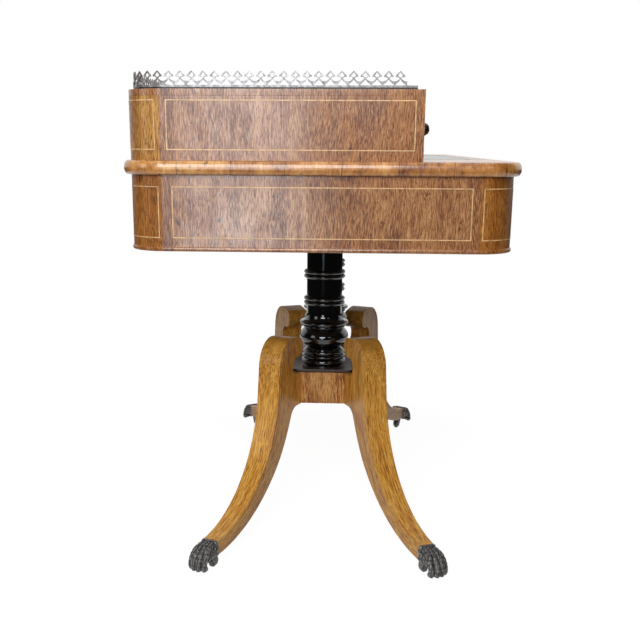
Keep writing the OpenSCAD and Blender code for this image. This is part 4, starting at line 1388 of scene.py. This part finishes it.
@dataclass
class Feet(SubAssembly):
    """The four carved paws, with the casters that turn under them; all sizes are in millimetres.

    Attributes:
        plan: Where the legs stand.
        length, width: The size of a paw in plan.
        base: The height of its underside.
        swing: The radius that the turning caster needs.
        toes: How many toes it has.
        voxel: The size of the cells that fuse its masses.
        arch: The masses of the instep: out from the ankle, up, half length, narrowing, half height, dip in degrees.
        toe_back: The line of a toe from the strap to the knuckle, out from the ankle and up.
        toe_fall: The line from there down to the claw, out from the toe's tip and up.
        finish, wheels: The metal of the paws and of the casters.
    """

    plan: LegPlan = LegPlan()
    length: float = 54
    width: float = 41
    base: float = 28
    swing: float = 27.6
    toes: int = 4
    voxel: float = 0.8
    arch: tuple[tuple[float, ...], ...] = ((8, 41, 12, 4, 13.5, 8), (19, 40, 15, 2, 13, 18), (30, 37, 12, 2, 10, 28))
    toe_back: Profile = ((6, 52), (14, 51.5), (22, 49.5), (30, 46))
    toe_fall: Profile = ((-11, 41), (-6, 35), (-3.4, 28), (-2.4, 21), (-3, 15.5))
    finish: OldBronze = OldBronze()
    wheels: OldBronze = OldBronze("caster_metal", hair=0.15, tone=0.45)

    def build(self) -> None:
        """Carves one paw, copies it to every corner, and dresses the casters."""
        paw = self.carve()
        material = self.finish.material()
        caster_material = self.wheels.material()
        for place, left, front in leg_places():
            copy = mirrored_copy(paw, f"paw_{place}_carved", left, front)
            bpy.ops.object.shade_smooth()
            self.keep(copy, self.finish, material, None, (f"paw_{place}",))
            for part in ("caster", "wheel"):
                self.dress_copy(f"{part}_{place}", self.wheels, caster_material, 0.3 * MM, body=f"{part}_{place}")
        bpy.data.objects.remove(paw)

    def carve(self) -> Piece:
        """Builds up the paw from rounded masses, fuses them and clears the swing of the caster.

        Returns:
            The paw of the right back leg.
        """
        parts = self.instep() + self.locks()
        for index in range(self.toes):
            parts += self.toe((index - (self.toes - 1) / 2) * self.width / (self.toes + 0.1))
        front = self.plan.turn_out(join("paw_front", parts))
        paw = join("paw_carved", [front, self.collar()])
        modify(paw, "REMESH", mode="VOXEL", voxel_size=self.voxel * MM)
        self.clear_swing(paw)
        modify(paw, "SMOOTH", factor=0.5, iterations=7)
        return self.plan.plant(paw)

    def mass(self, centre: Point, radii: Point, tilt: float = 0.0, heading: float = 0.0) -> Piece:
        """One rounded mass.

        Args:
            centre: Its distance outwards from the ankle, sideways and up.
            radii: Its three half sizes.
            tilt: How far its length dips outwards, in degrees.
            heading: Its turn in plan, in degrees.

        Returns:
            The mass.
        """
        piece = added("mass", bpy.ops.mesh.primitive_uv_sphere_add, segments=20, ring_count=14, radius=1)
        piece.scale = [radius * MM for radius in radii]
        piece.rotation_euler = (0, math.radians(tilt), math.radians(heading))
        piece.location = (self.plan.ankle + centre[0] * MM, centre[1] * MM, centre[2] * MM)
        return settle(piece)

    def instep(self) -> list[Piece]:
        """The arched back of the paw, above the caster."""
        return [self.mass((out, 0, up), (length, self.width / 2 - narrower, height), dip)
                for out, up, length, narrower, height, dip in self.arch]

    def collar(self) -> Piece:
        """The strap round the ankle: a squared ring with rounded edges.

        Returns:
            The strap.
        """
        strap = added("strap", bpy.ops.mesh.primitive_cube_add, size=1)
        strap.scale = (9 * MM, 33.5 * MM, 31.5 * MM)
        strap.location = (self.plan.ankle + 3.4 * MM, 0, (self.base + 14.8) * MM)
        strap.rotation_euler = (0, math.radians(6), 0)
        settle(strap)
        modify(strap, "BEVEL", width=3.2 * MM, segments=3)
        return strap

    def toe(self, sideways: float) -> list[Piece]:
        """One toe: a ridge that runs without a break from the strap, over the knuckle and down to a blunt claw.

        Args:
            sideways: How far the toe lies from the middle of the paw.

        Returns:
            The masses of the toe.
        """
        tip = self.length - 5 - 10 * (sideways / (self.width / 2)) ** 2
        thick = self.width / 6.3
        path = [*self.toe_back, *((tip + out, up) for out, up in self.toe_fall)]
        ridge = []
        for step, ((x, z), (next_x, next_z)) in enumerate(zip(path, path[1:])):
            dip = math.degrees(math.atan2(z - next_z, next_x - x))
            spread = 0.70 + 0.26 * min(1.0, step / 4)
            ridge.append(self.mass(((x + next_x) / 2, sideways * spread, (z + next_z) / 2),
                                   (8.2, thick * (0.72 + 0.06 * step), 5.4), dip))
        pad = self.mass((tip - 4.6, sideways, 17), (5.4, thick * 1.1, 5.8))
        claw = self.mass((tip + 0.2, sideways, 14.4), (2.6, 2.8, 4.2), 14)
        return [*ridge, pad, claw]

    def locks(self) -> list[Piece]:
        """Carved locks of hair that fall along both sides and over the instep.

        Returns:
            The masses of the locks.
        """
        edge = self.width / 2
        pieces = []
        for side in (-1, 1):
            for index in range(4):
                out = 3 + 8 * index
                pieces.append(self.mass((out, side * (edge - 4.4), 43 - 3.2 * index), (8.5, 2.6, 3.0), 60, side * 8))
                pieces.append(self.mass((out + 3, side * (edge - 4.8), 35 - 1.6 * index), (7.0, 2.4, 2.6), 46,
                                        side * 5))
        for index in range(-1, 2):
            pieces.append(self.mass((12, index * 7.4, 51.5), (6.5, 1.7, 2.6), 12, index * 6))
        return pieces

    def clear_swing(self, paw: Piece) -> None:
        """Cuts away what the turning caster would touch.

        Args:
            paw: The fused paw.
        """
        cutter = settle(added("swing", bpy.ops.mesh.primitive_cylinder_add, vertices=64, radius=self.swing * MM,
                              depth=2 * self.base * MM, location=(self.plan.caster, 0, 0)))
        modify(paw, "BOOLEAN", operation="DIFFERENCE", object=cutter, solver="EXACT")
        bpy.data.objects.remove(cutter)


@dataclass(frozen=True)
class Lamp:
    """A soft rectangular light.

    Attributes:
        name: The name of the light.
        place: Where it stands, in metres.
        target: The point it faces.
        size: Its width and height.
        radiance: How bright its face looks, where 1 is white.
        colour: The tint of its light.
    """

    name: str
    place: Point
    target: Point
    size: tuple[float, float]
    radiance: float
    colour: Colour = (1.0, 1.0, 1.0)

    def hang(self) -> None:
        """Adds the light to the scene."""
        data = bpy.data.lights.new(self.name, "AREA")
        data.shape = "RECTANGLE"
        data.size, data.size_y = self.size
        data.color = self.colour
        data.energy = self.radiance * math.pi * self.size[0] * self.size[1]
        light = bpy.data.objects.new(self.name, data)
        light.location = self.place
        light.rotation_euler = (Vector(self.target) - Vector(self.place)).to_track_quat("-Z", "Y").to_euler()
        bpy.context.scene.collection.objects.link(light)


# The tint of the cards that give the veneer its sheen
COOL = (0.82, 0.97, 1.1)


@dataclass
class Studio:
    """The floor, the light and the camera at the photograph's angle.

    Attributes:
        camera_place: Where the camera stands.
        pitch, yaw, roll: How far it looks down, turns left from +X and leans, in radians.
        focal_px, centre_px, frame_px: Its focal length, the centre of its image and the image's width, in pixels.
        ambient: The soft light from all round.
        room: How bright the room behind the camera looks in reflections.
        paper: The floor's ends along X and Y.
        paper_tone: How much of the light the floor gives back.
        paper_glow: How white it shows near the desk and far from it.
        glow_reach: The distances between which that changes.
        lamps: The soft boxes beside the camera, at the far side and overhead, and two cool cards low down.
    """

    camera_place: Point = (-2.0946, -0.0348, 0.7772)
    pitch: float = 0.2561
    yaw: float = 0.0437
    roll: float = 0.0056
    focal_px: float = 939.20
    centre_px: tuple[float, float] = (299.44, 389.25)
    frame_px: float = 640.0
    ambient: float = 0.08
    room: float = 0.02
    paper: tuple[float, float, float, float] = (-1.3, 2.4, -1.9, 1.9)
    paper_tone: float = 0.12
    paper_glow: tuple[float, float] = (0.96, 1.0)
    glow_reach: tuple[float, float] = (0.6, 1.2)
    lamps: tuple[Lamp, ...] = (
        Lamp("box_left", (-2.45, 0.30, 1.6), (-0.5, 0.0, 0.4), (1.15, 1.3), 7.7),
        Lamp("box_side", (-1.5, 1.9, 1.2), (-0.4, 0.0, 0.4), (0.8, 1.2), 2.0),
        Lamp("card_high", (-2.6, 0.36, 0.88), (-0.6, 0.1, 0.78), (0.50, 0.32), 4.6, COOL),
        Lamp("card_low", (-2.6, 0.35, 0.46), (-0.6, 0.1, 0.60), (0.50, 0.44), 5.4, COOL),
        Lamp("box_right", (-2.3, -1.15, 1.5), (-0.4, -0.1, 0.6), (0.4, 0.8), 2.2),
        Lamp("box_over", (-0.4, 0.0, 2.9), (0, 0, 0.5), (2.4, 2.4), 1.3),
    )

    def build(self) -> None:
        """Sets the stage."""
        self.camera()
        self.floor()
        self.world()
        for lamp in self.lamps:
            lamp.hang()
        bpy.context.scene.view_settings.view_transform = "Standard"

    def camera(self) -> None:
        """The camera, from the pinhole fit to the photograph."""
        data = bpy.data.cameras.new("camera")
        camera = bpy.data.objects.new("camera", data)
        bpy.context.scene.collection.objects.link(camera)
        quarter = math.pi / 2
        turn = (Matrix.Rotation(self.yaw - quarter, 4, "Z") @ Matrix.Rotation(quarter - self.pitch, 4, "X")
                @ Matrix.Rotation(self.roll, 4, "Z"))
        camera.matrix_world = Matrix.Translation(self.camera_place) @ turn
        data.sensor_width = 36
        data.lens = self.focal_px * data.sensor_width / self.frame_px
        data.shift_x = (self.frame_px / 2 - self.centre_px[0]) / self.frame_px
        data.shift_y = (self.centre_px[1] - self.frame_px / 2) / self.frame_px
        data.clip_start = 0.05
        bpy.context.scene.camera = camera

    def floor(self) -> None:
        """A sheet of white paper that shows white and keeps the desk's soft shadow."""
        left, right, near, far = self.paper
        middle = ((left + right) / 2, (near + far) / 2, 0)
        floor = added("floor", bpy.ops.mesh.primitive_plane_add, size=1, location=middle)
        floor.scale = (right - left, far - near, 1)
        settle(floor)
        shader = Shader("floor_white")
        rays = shader.add("LightPath").outputs
        seen = shader.most(rays["Is Camera Ray"], rays["Is Glossy Ray"], rays["Is Transmission Ray"])
        tone = self.paper_tone
        diffuse = shader.add("BsdfDiffuse", {"Color": (tone, tone, tone)})
        reach = shader.add("VectorMath", {0: shader.coordinates()}, operation="LENGTH").outputs["Value"]
        glow = shader.add("Emission", {"Color": (1, 1, 1),
                                       "Strength": shader.span(reach, *self.glow_reach, *self.paper_glow)})
        both = shader.add("AddShader", {0: diffuse.outputs[0], 1: glow.outputs[0]})
        mix = shader.add("MixShader", {0: seen, 1: diffuse.outputs[0], 2: both.outputs[0]})
        shader.feed(shader.output.inputs["Surface"], mix.outputs[0])
        shader.tree.nodes.remove(shader.surface)
        floor.data.materials.append(shader.material)

    def world(self) -> None:
        """White to the camera, an even soft light, and for reflections a white backdrop in a dim room."""
        world = bpy.data.worlds.new("studio")
        bpy.context.scene.world = world
        world.use_nodes = True
        graph = Graph(world.node_tree)
        rays = graph.add("LightPath").outputs
        facing = graph.parts(graph.add("TexCoord").outputs["Generated"])
        backdrop = graph.times(graph.span(facing[0], 0.2, 0.5), graph.span(facing[2], -0.06, 0.0))
        wall = graph.span(backdrop, 0.0, 1.0, self.room, 1.0)
        shine = graph.choose(rays["Is Glossy Ray"], self.ambient, wall)
        seen = graph.most(rays["Is Camera Ray"], rays["Is Transmission Ray"])
        white = graph.add("Background", {"Color": (1, 1, 1), "Strength": graph.choose(seen, shine, 1.0)})
        graph.add("OutputWorld", {"Surface": white.outputs[0]})


def corners(box: object) -> list[list[float]]:
    """A box as plain lists of numbers."""
    return [[float(value) for value in corner] for corner in box]


def main() -> None:
    """Builds and dresses the desk, sub-assembly by sub-assembly, and sets the stage."""
    logging.basicConfig(level=logging.INFO, format="%(name)s: %(message)s")
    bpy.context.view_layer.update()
    Studio().build()
    for part in (Cases(), WritingTop(), Drawers(), Inlay(), Gallery(), Columns(), Base(), Feet()):
        part.build()
        log.info("%s: %d pieces", type(part).__name__, len(part.pieces))


if __name__ == "__main__":
    main()
